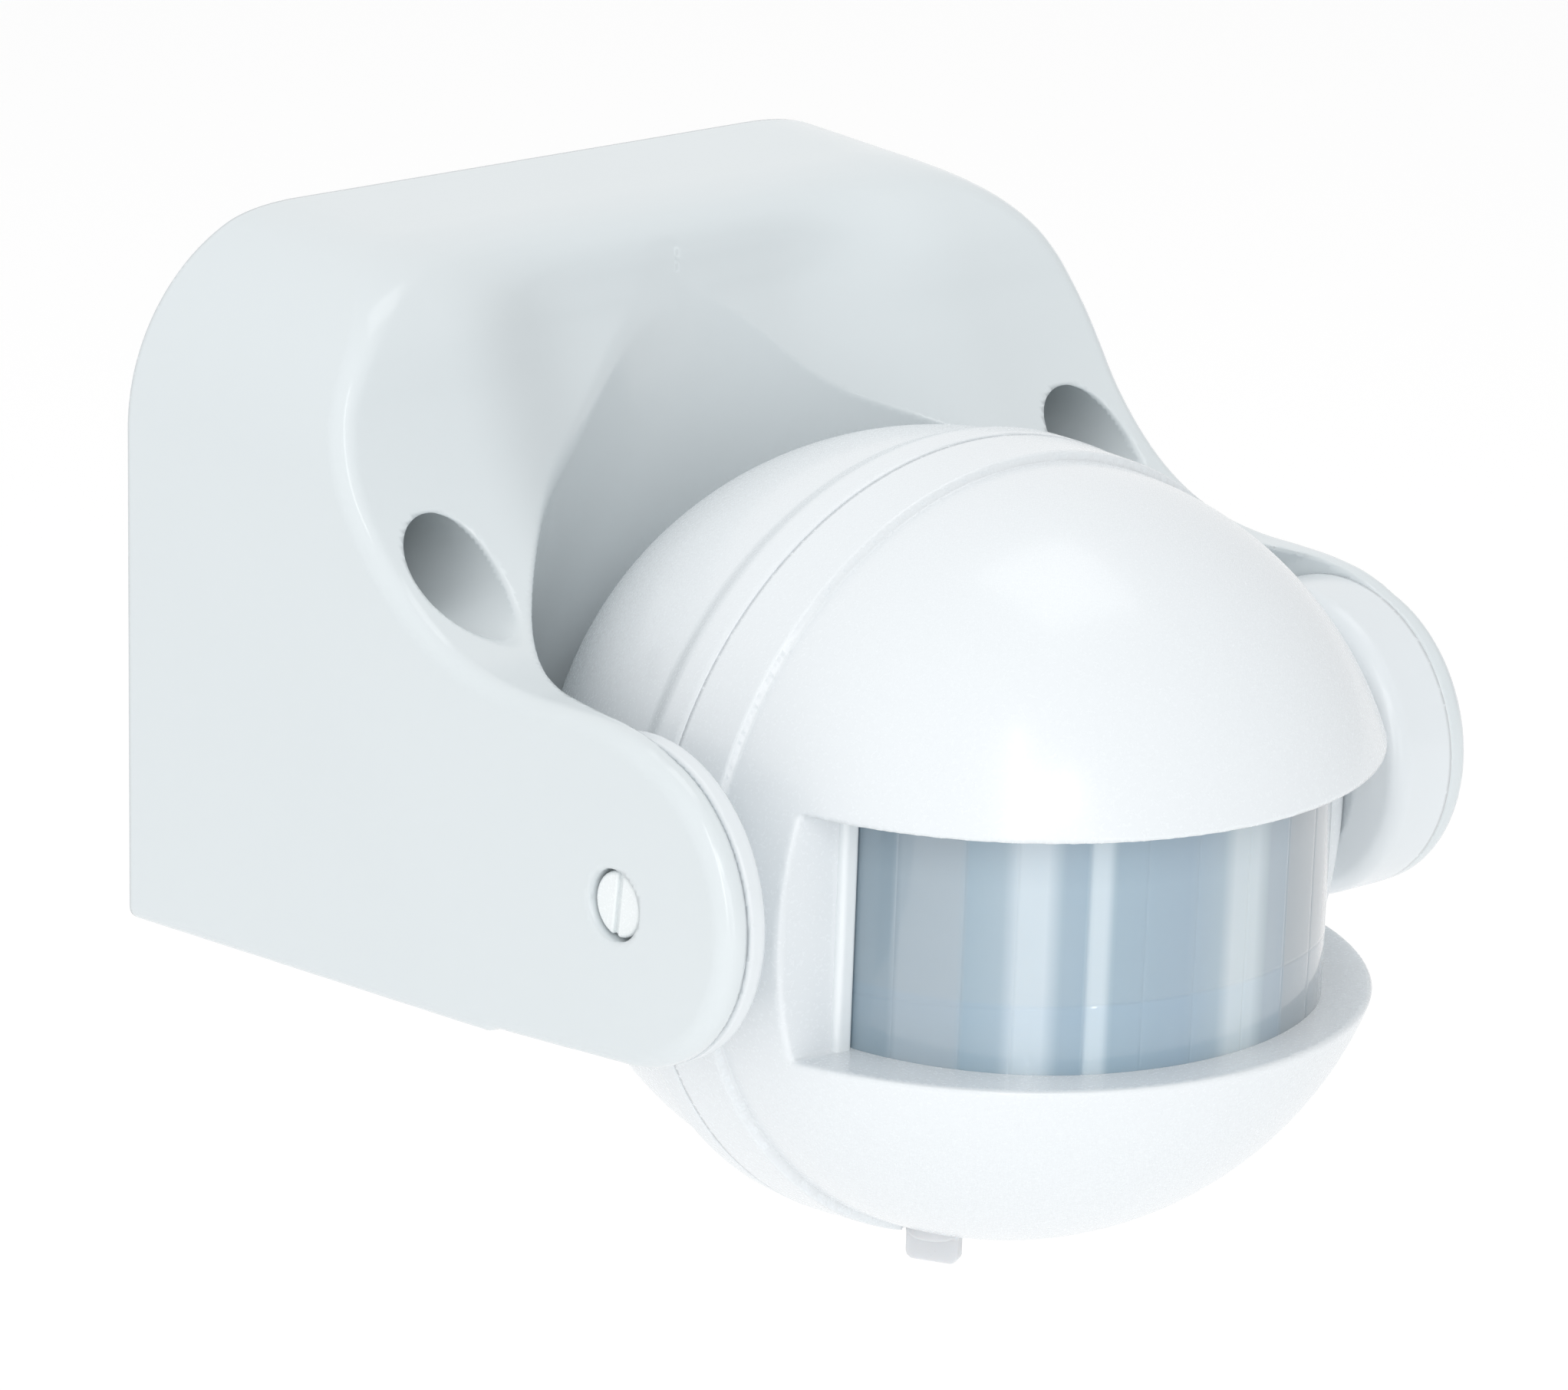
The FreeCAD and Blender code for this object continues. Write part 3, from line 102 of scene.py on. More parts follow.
def round_and(a, b, r):
    # intersection with a rounded outer edge of radius r
    u, v = np.maximum(a + r, 0), np.maximum(b + r, 0)
    return np.minimum(-r, np.maximum(a, b)) + np.sqrt(u * u + v * v)


def round_or(a, b, r):
    # union with a rounded inner corner of radius r
    u, v = np.maximum(r - a, 0), np.maximum(r - b, 0)
    return np.maximum(r, np.minimum(a, b)) - np.sqrt(u * u + v * v)


def round_cut(a, b, r):
    return round_and(a, -b, r)


def smooth(t):
    t = np.clip(t, 0, 1)
    return t * t * t * (10 - 15 * t + 6 * t * t)


def surface(f, lo, hi, h, steps=2, eps=0.02):
    """Surface of f < 0 as points, quads and normals. Each grid cell the surface crosses gets one point, set where the tangent
    planes at the crossings meet, so that edges stay sharp and straight; then it is moved onto the surface."""
    lo, hi = np.array(lo, float), np.array(hi, float)
    n = np.maximum(2, np.ceil((hi - lo) / h).astype(int) + 1)
    xs, ys, zs = (lo[k] + h * np.arange(n[k]) for k in range(3))
    val = np.empty((n[0], n[1], n[2]), np.float32)
    step = max(1, int(3.0e6 // (n[1] * n[2])))
    for i in range(0, n[0], step):
        X = xs[i:i + step][:, None, None]
        val[i:i + step] = f(X, ys[None, :, None], zs[None, None, :])
    neg = val < 0
    m = n - 1

    def at(p):
        return f(p[:, 0], p[:, 1], p[:, 2]).astype(float)

    def grad(p, e):
        g = np.empty_like(p)
        for k in range(3):
            d = np.zeros(3)
            d[k] = e
            g[:, k] = (at(p + d) - at(p - d)) / (2 * e)
        return g

    cells, points, normals = [], [], []
    for axis in range(3):
        a1, a2 = (axis + 1) % 3, (axis + 2) % 3
        sl0 = [slice(1, -1)] * 3
        sl1 = [slice(1, -1)] * 3
        sl0[axis], sl1[axis] = slice(0, -1), slice(1, None)
        c0, c1 = neg[tuple(sl0)], neg[tuple(sl1)]
        for flip, mask in ((False, c0 & ~c1), (True, ~c0 & c1)):
            e = np.argwhere(mask)
            if not len(e):
                continue
            e[:, a1] += 1
            e[:, a2] += 1
            far = e.copy()
            far[:, axis] += 1
            f0 = val[e[:, 0], e[:, 1], e[:, 2]].astype(float)
            f1 = val[far[:, 0], far[:, 1], far[:, 2]].astype(float)
            t0, t1 = np.zeros(len(e)), np.ones(len(e))
            base = lo + e * h
            for k in range(3):
                t = t0 + (t1 - t0) * f0 / (f0 - f1)
                p = base.copy()
                p[:, axis] += t * h
                if k == 2:
                    break
                ft = at(p)
                same = (ft < 0) == (f0 < 0)
                t0, f0 = np.where(same, t, t0), np.where(same, ft, f0)
                t1, f1 = np.where(same, t1, t), np.where(same, f1, ft)
                flat = np.abs(f0 - f1) < 1e-12
                f1 = np.where(flat, f0 - np.where(f0 < 0, -1e-9, 1e-9) * 2, f1)
            g = grad(p, eps)
            g /= np.maximum(np.linalg.norm(g, axis=1), 1e-9)[:, None]
            ids = []
            for o1, o2 in ((-1, -1), (0, -1), (0, 0), (-1, 0)):
                c = e.copy()
                c[:, a1] += o1
                c[:, a2] += o2
                ids.append((c[:, 0] * m[1] + c[:, 1]) * m[2] + c[:, 2])
            q = np.stack(ids, 1)
            cells.append(q[:, ::-1] if flip else q)
            points.append(p)
            normals.append(g)
    cells, points, normals = np.concatenate(cells), np.concatenate(points), np.concatenate(normals)
    used, inv = np.unique(cells.ravel(), return_inverse=True)
    quads = inv.reshape(cells.shape)
    who = quads.ravel()
    P, N = np.repeat(points, 4, 0), np.repeat(normals, 4, 0)

    def total(w):
        return np.bincount(who, weights=w, minlength=len(used))
    cnt = total(np.ones(len(who)))
    mass = np.stack([total(P[:, k]) for k in range(3)], 1) / cnt[:, None]
    A = np.empty((len(used), 3, 3))
    for r in range(3):
        for c in range(r, 3):
            A[:, r, c] = A[:, c, r] = total(N[:, r] * N[:, c])
    along = (N * P).sum(1)
    b = np.stack([total(N[:, k] * along) for k in range(3)], 1) - np.einsum("nij,nj->ni", A, mass)
    w, V = np.linalg.eigh(A / cnt[:, None, None])
    b /= cnt[:, None]
    keep = w > np.maximum(0.06 * w[:, 2:3], 1e-6)
    y = np.einsum("nji,nj->ni", V, b)
    y = np.where(keep, y / np.where(keep, w, 1.0), 0.0)
    pos = mass + np.einsum("nij,nj->ni", V, y)
    ci = np.stack([used // (m[1] * m[2]), (used // m[2]) % m[1], used % m[2]], 1)
    low = lo + ci * h
    pos = np.clip(pos, low - 0.05 * h, low + 1.05 * h)
    start = pos.copy()
    for _ in range(steps):
        g = grad(pos, eps)
        v = at(pos)
        move = -(v / np.maximum((g * g).sum(1), 0.2))[:, None] * g
        ln = np.linalg.norm(move, axis=1)
        move *= np.minimum(1.0, 0.25 * h / np.maximum(ln, 1e-9))[:, None]
        pos += move
        off = pos - start
        far = np.linalg.norm(off, axis=1)
        pos = start + off * np.minimum(1.0, 0.6 * h / np.maximum(far, 1e-9))[:, None]
    nrm = grad(pos, max(eps, 0.12 * h))
    nrm /= np.maximum(np.linalg.norm(nrm, axis=1), 1e-9)[:, None]
    return pos, quads, nrm


def mesh_object(name, pos, faces, nrm=None, local=False, smooth_all=True):
    pos = np.asarray(pos, float)
    if local:
        pos = head_to_world(pos)
        nrm = turn_head(nrm) if nrm is not None else None
    me = bpy.data.meshes.new(name)
    faces = np.asarray(faces)
    if faces.dtype != object:
        k = faces.shape[1]
        me.vertices.add(len(pos))
        me.vertices.foreach_set("co", (pos * MM).astype(np.float32).ravel())
        me.loops.add(faces.size)
        me.loops.foreach_set("vertex_index", faces.astype(np.int32).ravel())
        me.polygons.add(len(faces))
        me.polygons.foreach_set("loop_start", np.arange(0, faces.size, k, dtype=np.int32))
        me.update(calc_edges=True)
    if smooth_all:
        me.polygons.foreach_set("use_smooth", np.ones(len(me.polygons), bool))
    me.validate()
    if nrm is not None:
        me.normals_split_custom_set_from_vertices([tuple(v) for v in nrm])
    obj = bpy.data.objects.new(name, me)
    bpy.context.scene.collection.objects.link(obj)
    return obj


def implicit(name, f, lo, hi, h, local=False, **kw):
    pos, quads, nrm = surface(f, lo, hi, h, **kw)
    return mesh_object(name, pos, quads, nrm, local)


def resample(points, gap):
    # smooth curve through points (Catmull-Rom on chord length), sampled evenly
    p = np.array(points, float)
    ends = np.vstack([2 * p[0] - p[1], p, 2 * p[-1] - p[-2]])
    out = []
    for i in range(1, len(ends) - 2):
        p0, p1, p2, p3 = ends[i - 1:i + 3]
        t0 = 0.0
        t1 = t0 + math.sqrt(np.linalg.norm(p1 - p0))
        t2 = t1 + math.sqrt(np.linalg.norm(p2 - p1))
        t3 = t2 + math.sqrt(np.linalg.norm(p3 - p2))
        k = max(2, int(np.linalg.norm(p2 - p1) / gap))
        t = (t1 + (t2 - t1) * np.arange(k) / k)[:, None]
        a1 = (t1 - t) / (t1 - t0) * p0 + (t - t0) / (t1 - t0) * p1
        a2 = (t2 - t) / (t2 - t1) * p1 + (t - t1) / (t2 - t1) * p2
        a3 = (t3 - t) / (t3 - t2) * p2 + (t - t2) / (t3 - t2) * p3
        b1 = (t2 - t) / (t2 - t0) * a1 + (t - t0) / (t2 - t0) * a2
        b2 = (t3 - t) / (t3 - t1) * a2 + (t - t1) / (t3 - t1) * a3
        out.append((t2 - t) / (t2 - t1) * b1 + (t - t1) / (t2 - t1) * b2)
    out.append(p[-1:])
    return np.concatenate(out)


def polygon_distance(poly, U, Vv):
    # signed distance of a closed polygon (negative inside) at points (U, Vv), both 1-D
    a = poly
    b = np.roll(poly, -1, 0)
    e = b - a
    ee = (e * e).sum(1)
    ok = ee > 1e-12
    a, b, e, ee = a[ok], b[ok], e[ok], ee[ok]
    out = np.empty(len(U))
    for i in range(0, len(U), 4000):
        px, py = U[i:i + 4000, None], Vv[i:i + 4000, None]
        wx, wy = px - a[:, 0], py - a[:, 1]
        t = np.clip((wx * e[:, 0] + wy * e[:, 1]) / ee, 0, 1)
        d2 = ((wx - t * e[:, 0]) ** 2 + (wy - t * e[:, 1]) ** 2).min(1)
        up = (a[:, 1] <= py) & (b[:, 1] > py)
        down = (a[:, 1] > py) & (b[:, 1] <= py)
        side = e[:, 0] * wy - e[:, 1] * wx
        wind = ((up & (side > 0)).sum(1) - (down & (side < 0)).sum(1)) != 0
        out[i:i + 4000] = np.where(wind, -1, 1) * np.sqrt(d2)
    return out


class Table:
    """A signed distance sampled on a plane, read back with a cubic kernel."""

    def __init__(self, poly, lo, hi, h):
        self.lo, self.h = np.array(lo, float), h
        nu = int((hi[0] - lo[0]) / h) + 1
        nv = int((hi[1] - lo[1]) / h) + 1
        u = lo[0] + h * np.arange(nu)
        v = lo[1] + h * np.arange(nv)
        UU, VV = np.meshgrid(u, v, indexing="ij")
        self.t = polygon_distance(np.array(poly), UU.ravel(), VV.ravel()).reshape(nu, nv)

    def __call__(self, u, v):
        u, v = np.broadcast_arrays(u, v)
        fu = (u - self.lo[0]) / self.h
        fv = (v - self.lo[1]) / self.h
        iu = np.clip(np.floor(fu).astype(int), 1, self.t.shape[0] - 3)
        iv = np.clip(np.floor(fv).astype(int), 1, self.t.shape[1] - 3)
        tu, tv = np.clip(fu - iu, -1, 2), np.clip(fv - iv, -1, 2)

        def w(t):
            # cubic B-spline weights: the curvature comes out continuous
            return ((1 - t) ** 3 / 6, (3 * t ** 3 - 6 * t ** 2 + 4) / 6, (-3 * t ** 3 + 3 * t ** 2 + 3 * t + 1) / 6, t ** 3 / 6)
        wu, wv = w(tu), w(tv)
        out = 0.0
        for a in range(4):
            row = 0.0
            for b in range(4):
                row = row + wv[b] * self.t[iu + a - 1, iv + b - 1]
            out = out + wu[a] * row
        return out


# ------------------------------------------------------------------ bracket housing
DROP = 30.0
TX, TZ = math.tan(math.radians(1.08)), math.tan(math.radians(2.4))
EDGE = [(15.0, 61.85), (18.0, 61.25), (21.0, 60.05), (23.6, 58.1), (25.4, 55.6), (26.4, 52.9), (27.2, 50.2), (28.3, 47.6),
        (29.6, 45.0), (31.2, 42.5), (33.2, 40.1), (35.6, 37.8), (38.5, 35.65), (42.2, 33.8), (46.8, 32.55), (51.8, 32.05),
        (56.5, 32.05), (60.8, 31.95), (64.3, 31.55), (66.5, 30.98)]
MIDDLE = [(14.0, 61.9), (16.6, 61.5), (18.7, 60.7), (20.1, 59.4), (20.7, 57.7), (20.75, 55.8), (21.0, 53.6), (21.75, 51.2),
          (22.8, 48.4), (23.95, 45.4), (25.1, 42.4), (26.2, 39.5), (27.3, 36.6), (28.5, 33.6), (29.5, 31.0), (30.5, 28.2),
          (31.5, 25.0), (34.5, 17.0), (38.2, 7.0)]
PD, PZ, RE = 64.0, 17.2, 13.75


def side_polygon():
    top = [(-30.0, 61.85 + 45 * TZ), (9.0, 61.85 + 6 * TZ + 0.04)]
    curve = resample([(11.0, 61.85 + 4 * TZ)] + EDGE, 0.25)
    t = np.linspace(math.radians(18), math.pi, 60)
    arc = np.stack([PD + RE * np.sin(t), PZ + RE * np.cos(t)], 1)
    low = [(PD - 15.0, TZ * (PD - 15.0) - 0.02), (PD - 15.2, -8.0), (-30.0, -8.0)]
    return np.vstack([top, curve, arc, low])


def middle_polygon():
    top = [(-30.0, 61.9 + 44 * TZ), (9.0, 61.9 + 5 * TZ)]
    curve = resample([(11.5, 61.9 + 2.5 * TZ)] + MIDDLE, 0.25)
    return np.vstack([top, curve, [(38.2, -20.0), (-30.0, -20.0)]])


CAVITY = [(-8, 74), (13.2, 74), (13.2, 58.9), (16.2, 57.2), (17.6, 54.5), (18.2, 51), (19.6, 47), (22.4, 40), (24.4, 35.5), (28, 30),
          (34, 24), (34, -9), (-8, -9)]
side_table = Table(side_polygon(), (-8, -12), (84, 72), 0.5)
middle_table = Table(middle_polygon(), (-8, -12), (84, 72), 0.5)
cavity_table = Table(CAVITY, (-8, -12), (84, 72), 0.5)


def arch(x, d, z, inset, r_top, r_low):
    # cross-section of the base: two large upper corners, drafted sides
    w = 44.0 - TX * d - inset
    zb, zt = -DROP + TZ * d + inset, 32.5 - TZ * d - inset
    zc, hh = (zb + zt) / 2, (zt - zb) / 2
    zz = z - zc
    r = np.where(zz > 0, r_top, r_low)
    qx, qz = np.abs(x) - w + r, np.abs(zz) - hh + r
    return np.minimum(np.maximum(qx, qz), 0) + np.sqrt(np.maximum(qx, 0) ** 2 + np.maximum(qz, 0) ** 2) - r


APEX = np.array([-20.4, 63.8])
AX = (PIVOT[1:] - APEX) / np.linalg.norm(PIVOT[1:] - APEX)
AL = float(np.linalg.norm(PIVOT[1:] - APEX))


def ball_room(x, y, z, grow):
    # sphere about the pivot with the tangent cone up to the apex
    r = 42.8 + grow
    sn = 42.8 / AL
    cs = math.sqrt(1 - sn * sn)
    py, pz = y - PIVOT[1], z - PIVOT[2]
    axial = -(py * AX[0] + pz * AX[1])          # from the pivot towards the apex
    side = -py * AX[1] + pz * AX[0]
    rad = np.sqrt(x * x + side * side)
    sphere = np.sqrt(rad * rad + axial * axial) - r
    cone = rad * cs + axial * sn - r
    # the sphere rules behind the tangent circle, the cone above it
    return np.where(axial * cs - rad * sn < 0, sphere, cone)


def housing_f(x, y, z):
    d = -y
    ax = np.abs(x)
    zf = z + DROP
    a = side_table(d, zf)
    b = middle_table(d, zf)
    s = smooth((30.5 - ax) / 21.5)
    front = a + (b - a) * s
    body = round_and(arch(x, d, z, 0.0, 18.36, 1.2), front, 1.7)
    body = round_and(body, -d, 0.25)
    room = np.maximum(ball_room(x, y, z, 0.0), ax - 40.0)
    body = round_cut(body, room, np.where(x > 0, 0.12, 0.55))
    tunnel = np.maximum(np.sqrt((ax - 36.35) ** 2 + (z - 7.8) ** 2) - 4.25, 9.0 - d)
    body = round_cut(body, tunnel, 0.3)
    keep = np.maximum(ball_room(x, y, z, 2.6), ax - 42.6)
    tube = np.maximum(np.sqrt((ax - 36.35) ** 2 + (z - 7.8) ** 2) - 6.05, 2.7 - d)
    hollow = fit_max(arch(x, d, z, 2.6, 15.8, 0.8), cavity_table(d, zf), -keep, -tube)
    body = np.maximum(body, -hollow)
    way = np.maximum(np.sqrt((ax - 36.35) ** 2 + (z - 7.8) ** 2) - 1.5, d - 12.0)
    body = np.maximum(body, -way)
    pr = np.sqrt((y + 64.0) ** 2 + (z + 12.8) ** 2)
    body = np.maximum(body, -(pr - 1.8))
    seat = np.maximum(pr - 3.05, (44.0 - TX * 64.0 - 0.45 - 1.4) - ax)
    return round_cut(body, seat, 0.18)


def lathe(name, profile, axis_x=None, seg=128, local=True, centre=(0.0, 0.0), flip=False):
    """Turned piece: profile of (along, radius) about the X axis through centre (y, z)."""
    p = np.array(profile, float)
    t = np.linspace(0, 2 * math.pi, seg, endpoint=False)
    X = np.repeat(p[:, 0][:, None], seg, 1)
    Y = centre[0] + p[:, 1][:, None] * np.cos(t)[None, :]
    Z = centre[1] + p[:, 1][:, None] * np.sin(t)[None, :]
    pos = np.stack([X, Y, Z], 2).reshape(-1, 3)
    n = len(p)
    i, j = np.meshgrid(np.arange(n - 1), np.arange(seg), indexing="ij")
    k = (j + 1) % seg
    q = np.stack([i * seg + j, i * seg + k, (i + 1) * seg + k, (i + 1) * seg + j], 2).reshape(-1, 4)
    if flip:
        q = q[:, ::-1]
    return mesh_object(name, pos, q, None, local)


# ------------------------------------------------------------------ build
import time
T0 = time.time()
housing = implicit("housing", housing_f, (-45, -79, -31), (45, 1, 34), 0.42)
print("housing", len(housing.data.polygons), round(time.time() - T0, 1))
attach(housing, "bracket")
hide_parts("bracket_housing")


# --- head front shell: ball, band that flares behind the ridge, window between hood and lip
PART = 6.05


def band_distance(x, y, z):
    t = np.clip(y / PART, 0, 1)
    zz = z + 0.28 * t
    return (np.sqrt(x * x + zz * zz) - 34.12 - 0.33 * t) * 0.995


def window_box(y, z):
    return round_and(y + 7.9, np.maximum(z - 10.5, -10.7 - z), 0.3)


def front_f(x, y, z):
    R = np.sqrt(x * x + y * y + z * z)
    rc = np.sqrt(x * x + z * z)
    ball = np.maximum(R - 33.33, y - 1.5)
    band = round_and(band_distance(x, y, z), -y, 0.28)
    outer = round_or(ball, band, 0.1)
    outer = round_and(outer, y - PART + 0.02, 0.1)
    inner = np.minimum(np.maximum(R - 31.13, y), np.maximum(rc - 31.13, -y - 0.01))
    shell = np.maximum(outer, -inner)
    rv = np.sqrt(x * x + y * y)
    block = fit_max(y + 6.2, np.abs(z + 0.1) - 12.3, 24.0 - rv, R - 33.0)
    solid = np.minimum(shell, block)
    solid = round_cut(solid, window_box(y, z), 0.4)
    bore = np.sqrt((y - 0.75) ** 2 + (z - 2.8) ** 2) - 5.25
    solid = np.maximum(solid, -np.maximum(bore, -np.abs(x) + 20))
    kn = np.sqrt((np.abs(x) - 7.3) ** 2 + (y + 1.0) ** 2) - 2.8
    return round_cut(solid, np.maximum(kn, z), 0.3)


front = implicit("front_shell", front_f, (-35.4, -34.2, -35.6), (35.4, 6.9, 35.4), 0.4, local=True)
print("front", len(front.data.polygons), round(time.time() - T0, 1))
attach(front, "head")
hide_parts("head_front_shell")

POSTS = ((0.0, 24.4), (-18.6, -16.6), (18.6, -16.6))


def rim_distance(x, y, z):
    zz = z + 0.28
    return round_and(np.sqrt(x * x + zz * zz) - 34.45 + 0.045 * (y - PART), y - 9.9, 1.4)


def rear_outer(x, y, z):
    R = np.sqrt(x * x + z * z + (y - 9.2) ** 2)
    return round_or(rim_distance(x, y, z), np.maximum(R - 33.45, 5.0 - y), 1.5)


def rear_f(x, y, z):
    rc = np.sqrt(x * x + z * z)
    R = np.sqrt(rc * rc + (y - 9.2) ** 2)
    outer = round_and(rear_outer(x, y, z), PART + 0.02 - y, 0.1)
    inner = np.minimum(np.maximum(R - 31.2, 9.2 - y), np.maximum(rc - 31.2, y - 9.2))
    shell = np.maximum(outer, -inner)
    for px, pz in POSTS:
        rp = np.sqrt((x - px) ** 2 + (z - pz) ** 2)
        shell = np.minimum(shell, fit_max(rp - 3.6, R - 33.0, PART + 0.05 - y))
    for px, pz in POSTS:
        rp = np.sqrt((x - px) ** 2 + (z - pz) ** 2)
        shell = round_cut(shell, np.maximum(rp - 2.9, 9.05 - y), 0.35)
        shell = np.maximum(shell, -(rp - 1.3))
    bore = np.sqrt((y - 0.75) ** 2 + (z - 2.8) ** 2) - 5.25
    return np.maximum(shell, -np.maximum(bore, -np.abs(x) + 20))


rear = implicit("rear_shell", rear_f, (-35.4, 5.2, -35.6), (35.4, 43.4, 35.4), 0.45, local=True)
print("rear", len(rear.data.polygons), round(time.time() - T0, 1))
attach(rear, "head")
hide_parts("head_rear_shell")


# --- trunnions: a thin disc on the left, a thick boss on the right, each on a spigot through the shell
def trunnion_f(x, y, z):
    ax = np.abs(x)
    r = np.sqrt((y - 0.75) ** 2 + (z - 2.8) ** 2)
    R = np.sqrt(x * x + y * y + z * z)
    env = fit_min(np.maximum(R - 33.33, y - 1.0), np.maximum(band_distance(x, y, z), np.abs(y - 3.1) - 3.2), np.maximum(rear_outer(x, y, z), 5.9 - y)) - 0.03
    thin = round_and(round_and(r - 13.74, 38.0 - ax, 0.6), ax - 39.88, 0.06)
    thick = round_and(round_and(r - 13.8, (31.2 - ax + 0.45 * (r - 8.0)) * 0.9, 1.2), ax - 39.96, 0.04)
    disc = np.where(x < 0, thin, thick)
    neck = fit_max(r - 5.7, ax - 39.2, 28.5 - ax)
    body = round_or(disc, neck, 1.0)
    body = round_cut(body, env, 0.05)
    spig = fit_max(r - 5.2, 28.5 - ax, ax - 35.0)
    body = np.minimum(body, spig)
    return np.maximum(body, -(r - 1.8))


for tag, lo, hi in (("left", -40.6, -27.8), ("right", 27.8, 40.6)):
    o = implicit("trunnion_piece_" + tag, trunnion_f, (lo, -14.2, -12.2), (hi, 15.6, 17.8), 0.33, local=True)
    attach(o, "head")
    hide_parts("trunnion_" + tag)
print("trunnions", round(time.time() - T0, 1))


# --- pivot screws and knobs
def screw_f(x, y, z):
    ax = np.abs(x)
    r = np.sqrt((y + 64.0) ** 2 + (z + 12.8) ** 2)
    top = 44.0 - TX * 64.0 - 0.45
    head = round_and(r - 2.78, np.maximum(ax - top, top - 1.4 - ax), 0.35)
    slot = fit_max(np.abs((y + 64.0) * math.cos(0.12) + (z + 12.8) * math.sin(0.12)) - 0.30, top - 0.45 - ax)
    head = round_cut(head, slot, 0.2)
    return np.minimum(head, fit_max(r - 1.75, ax - top + 1.0, 28.0 - ax))


for tag, lo, hi in (("left", -42.8, -27.4), ("right", 27.4, 42.8)):
    o = implicit("pivot_piece_" + tag, screw_f, (lo, -67.6, -16.4), (hi, -60.4, -9.2), 0.1)
    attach(o, "bracket")
    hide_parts("pivot_screw_" + tag)


def knob_f(x, y, z):
    # round stem, then a flat blade for finger and thumb
    px, py = x + np.where(x < 0, 7.3, -7.3), y + 1.0
    r = np.sqrt(px * px + py * py)
    stem = round_and(r - 2.35, np.maximum(-33.1 - z, z + 26.0), 0.3)
    c, t = math.cos(math.radians(30)), math.sin(math.radians(30))
    thick = np.abs(px * c + py * t) - 0.75
    width = np.abs(-px * t + py * c) - 2.33
    side = round_and(width, -35.45 - z, 0.75)
    blade = round_and(side, thick, 0.22)
    return round_or(stem, np.maximum(blade, z + 32.6), 0.25)


for tag, lo, hi in (("time", -10.2, -4.4), ("lux", 4.4, 10.2)):
    o = implicit("knob_piece_" + tag, knob_f, (lo, -3.9, -36.1), (hi, 1.9, -25.4), 0.13, local=True)
    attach(o, tag + "_knob")
    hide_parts(tag + "_knob")
print("small", round(time.time() - T0, 1))


# --- lens: a milky curved sheet, smooth outside, with fine upright seams between its lens columns
SEAMS = (-62.9, -50.2, -41.0, -28.6, -18.2, -8.2, 3.4, 14.5, 25.0, 36.5, 48.0, 60.0)


def lens_radius(lon, z):
    a = np.maximum(np.abs(lon) - 30.0, 0)
    r = 27.5 - 1.9 * (a / 42.0) ** 1.5
    seam = np.zeros_like(lon + z)
    for c in SEAMS:
        seam = np.maximum(seam, 1 - np.abs(lon - c) * r * 0.01745 / 0.14)
    row = -4.6 - 0.9 * (lon / 60.0) ** 2
    seam = np.maximum(seam, 0.8 * (1 - np.abs(z - row) / 0.14))
    return r - 0.04 * np.clip(seam, 0, 1)


def make_lens():
    lon = list(np.arange(-72.0, 72.01, 1.0))
    for c in SEAMS:
        lon += [c - 0.36, c - 0.18, c, c + 0.18, c + 0.36]
    lon = np.array(sorted(set(round(v, 3) for v in lon)))
    zs = list(np.arange(-12.2, 12.01, 0.44)) + [-6.0 + 0.1 * k for k in range(18)]
    zs = np.array(sorted(set(round(v, 3) for v in zs)))
    L, Zz = np.meshgrid(lon, zs)
    pos = []
    for side in (0, 1):
        r = lens_radius(L, Zz) if side == 0 else lens_radius(L, Zz * 0 + 20.0) - 0.8
        a = np.radians(L)
        pos.append(np.stack([np.sin(a) * r, -np.cos(a) * r, Zz], 2).reshape(-1, 3))
    n, m = len(zs), len(lon)
    pos = np.concatenate(pos)
    i, j = np.meshgrid(np.arange(n - 1), np.arange(m - 1), indexing="ij")
    q = np.stack([i * m + j, i * m + j + 1, (i + 1) * m + j + 1, (i + 1) * m + j], 2).reshape(-1, 4)
    off = n * m
    back = (q + off)[:, ::-1]
    rims = []
    for i in range(n - 1):
        rims.append([i * m, (i + 1) * m, (i + 1) * m + off, i * m + off])
        rims.append([i * m + m - 1, i * m + m - 1 + off, (i + 1) * m + m - 1 + off, (i + 1) * m + m - 1])
    for j in range(m - 1):
        rims.append([j, j + off, j + 1 + off, j + 1])
        t = (n - 1) * m
        rims.append([t + j, t + j + 1, t + j + 1 + off, t + j + off])
    faces = np.vstack([q, back, np.array(rims)])
    return mesh_object("lens_sheet", pos, faces, None, True)


lens = make_lens()
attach(lens, "head")
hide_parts("fresnel_lens")


# --- the two posts that hold the lens's ends: rounded glossy beads beside the jambs, and a thin dark sheet over the right jamb that is painted shade for the shadowed gap beside the lens
def bead_f(x, y, z):
    ax = np.abs(x)
    side = round_and(np.abs(ax - 25.3) - 0.95, -8.55 - y, 0.55)
    # thin dark sheet on the right jamb: painted shade where the gap beside the lens lies in shadow
    shade_sheet = fit_max(np.abs(x - 28.8) - 2.9, np.abs(y + 7.95) - 0.28, np.abs(z - 7.2) - 3.2)
    return np.minimum(fit_max(side, y + 5.4, np.abs(z + 0.1) - 10.9), shade_sheet)


beads = implicit("lens_beads", bead_f, (-27.0, -9.4, -11.6), (32.4, -4.8, 11.4), 0.22, local=True)
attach(beads, "head")
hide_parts("lens_frame")
print("lens", round(time.time() - T0, 1))


# ------------------------------------------------------------------ materials
def new_material(name):
    m = bpy.data.materials.new(name)
    m.use_nodes = True
    nt = m.node_tree
    bsdf = nt.nodes["Principled BSDF"]
    return m, nt, bsdf


def add(nt, kind, **props):
    n = nt.nodes.new(kind)
    for k, v in props.items():
        setattr(n, k, v)
    return n


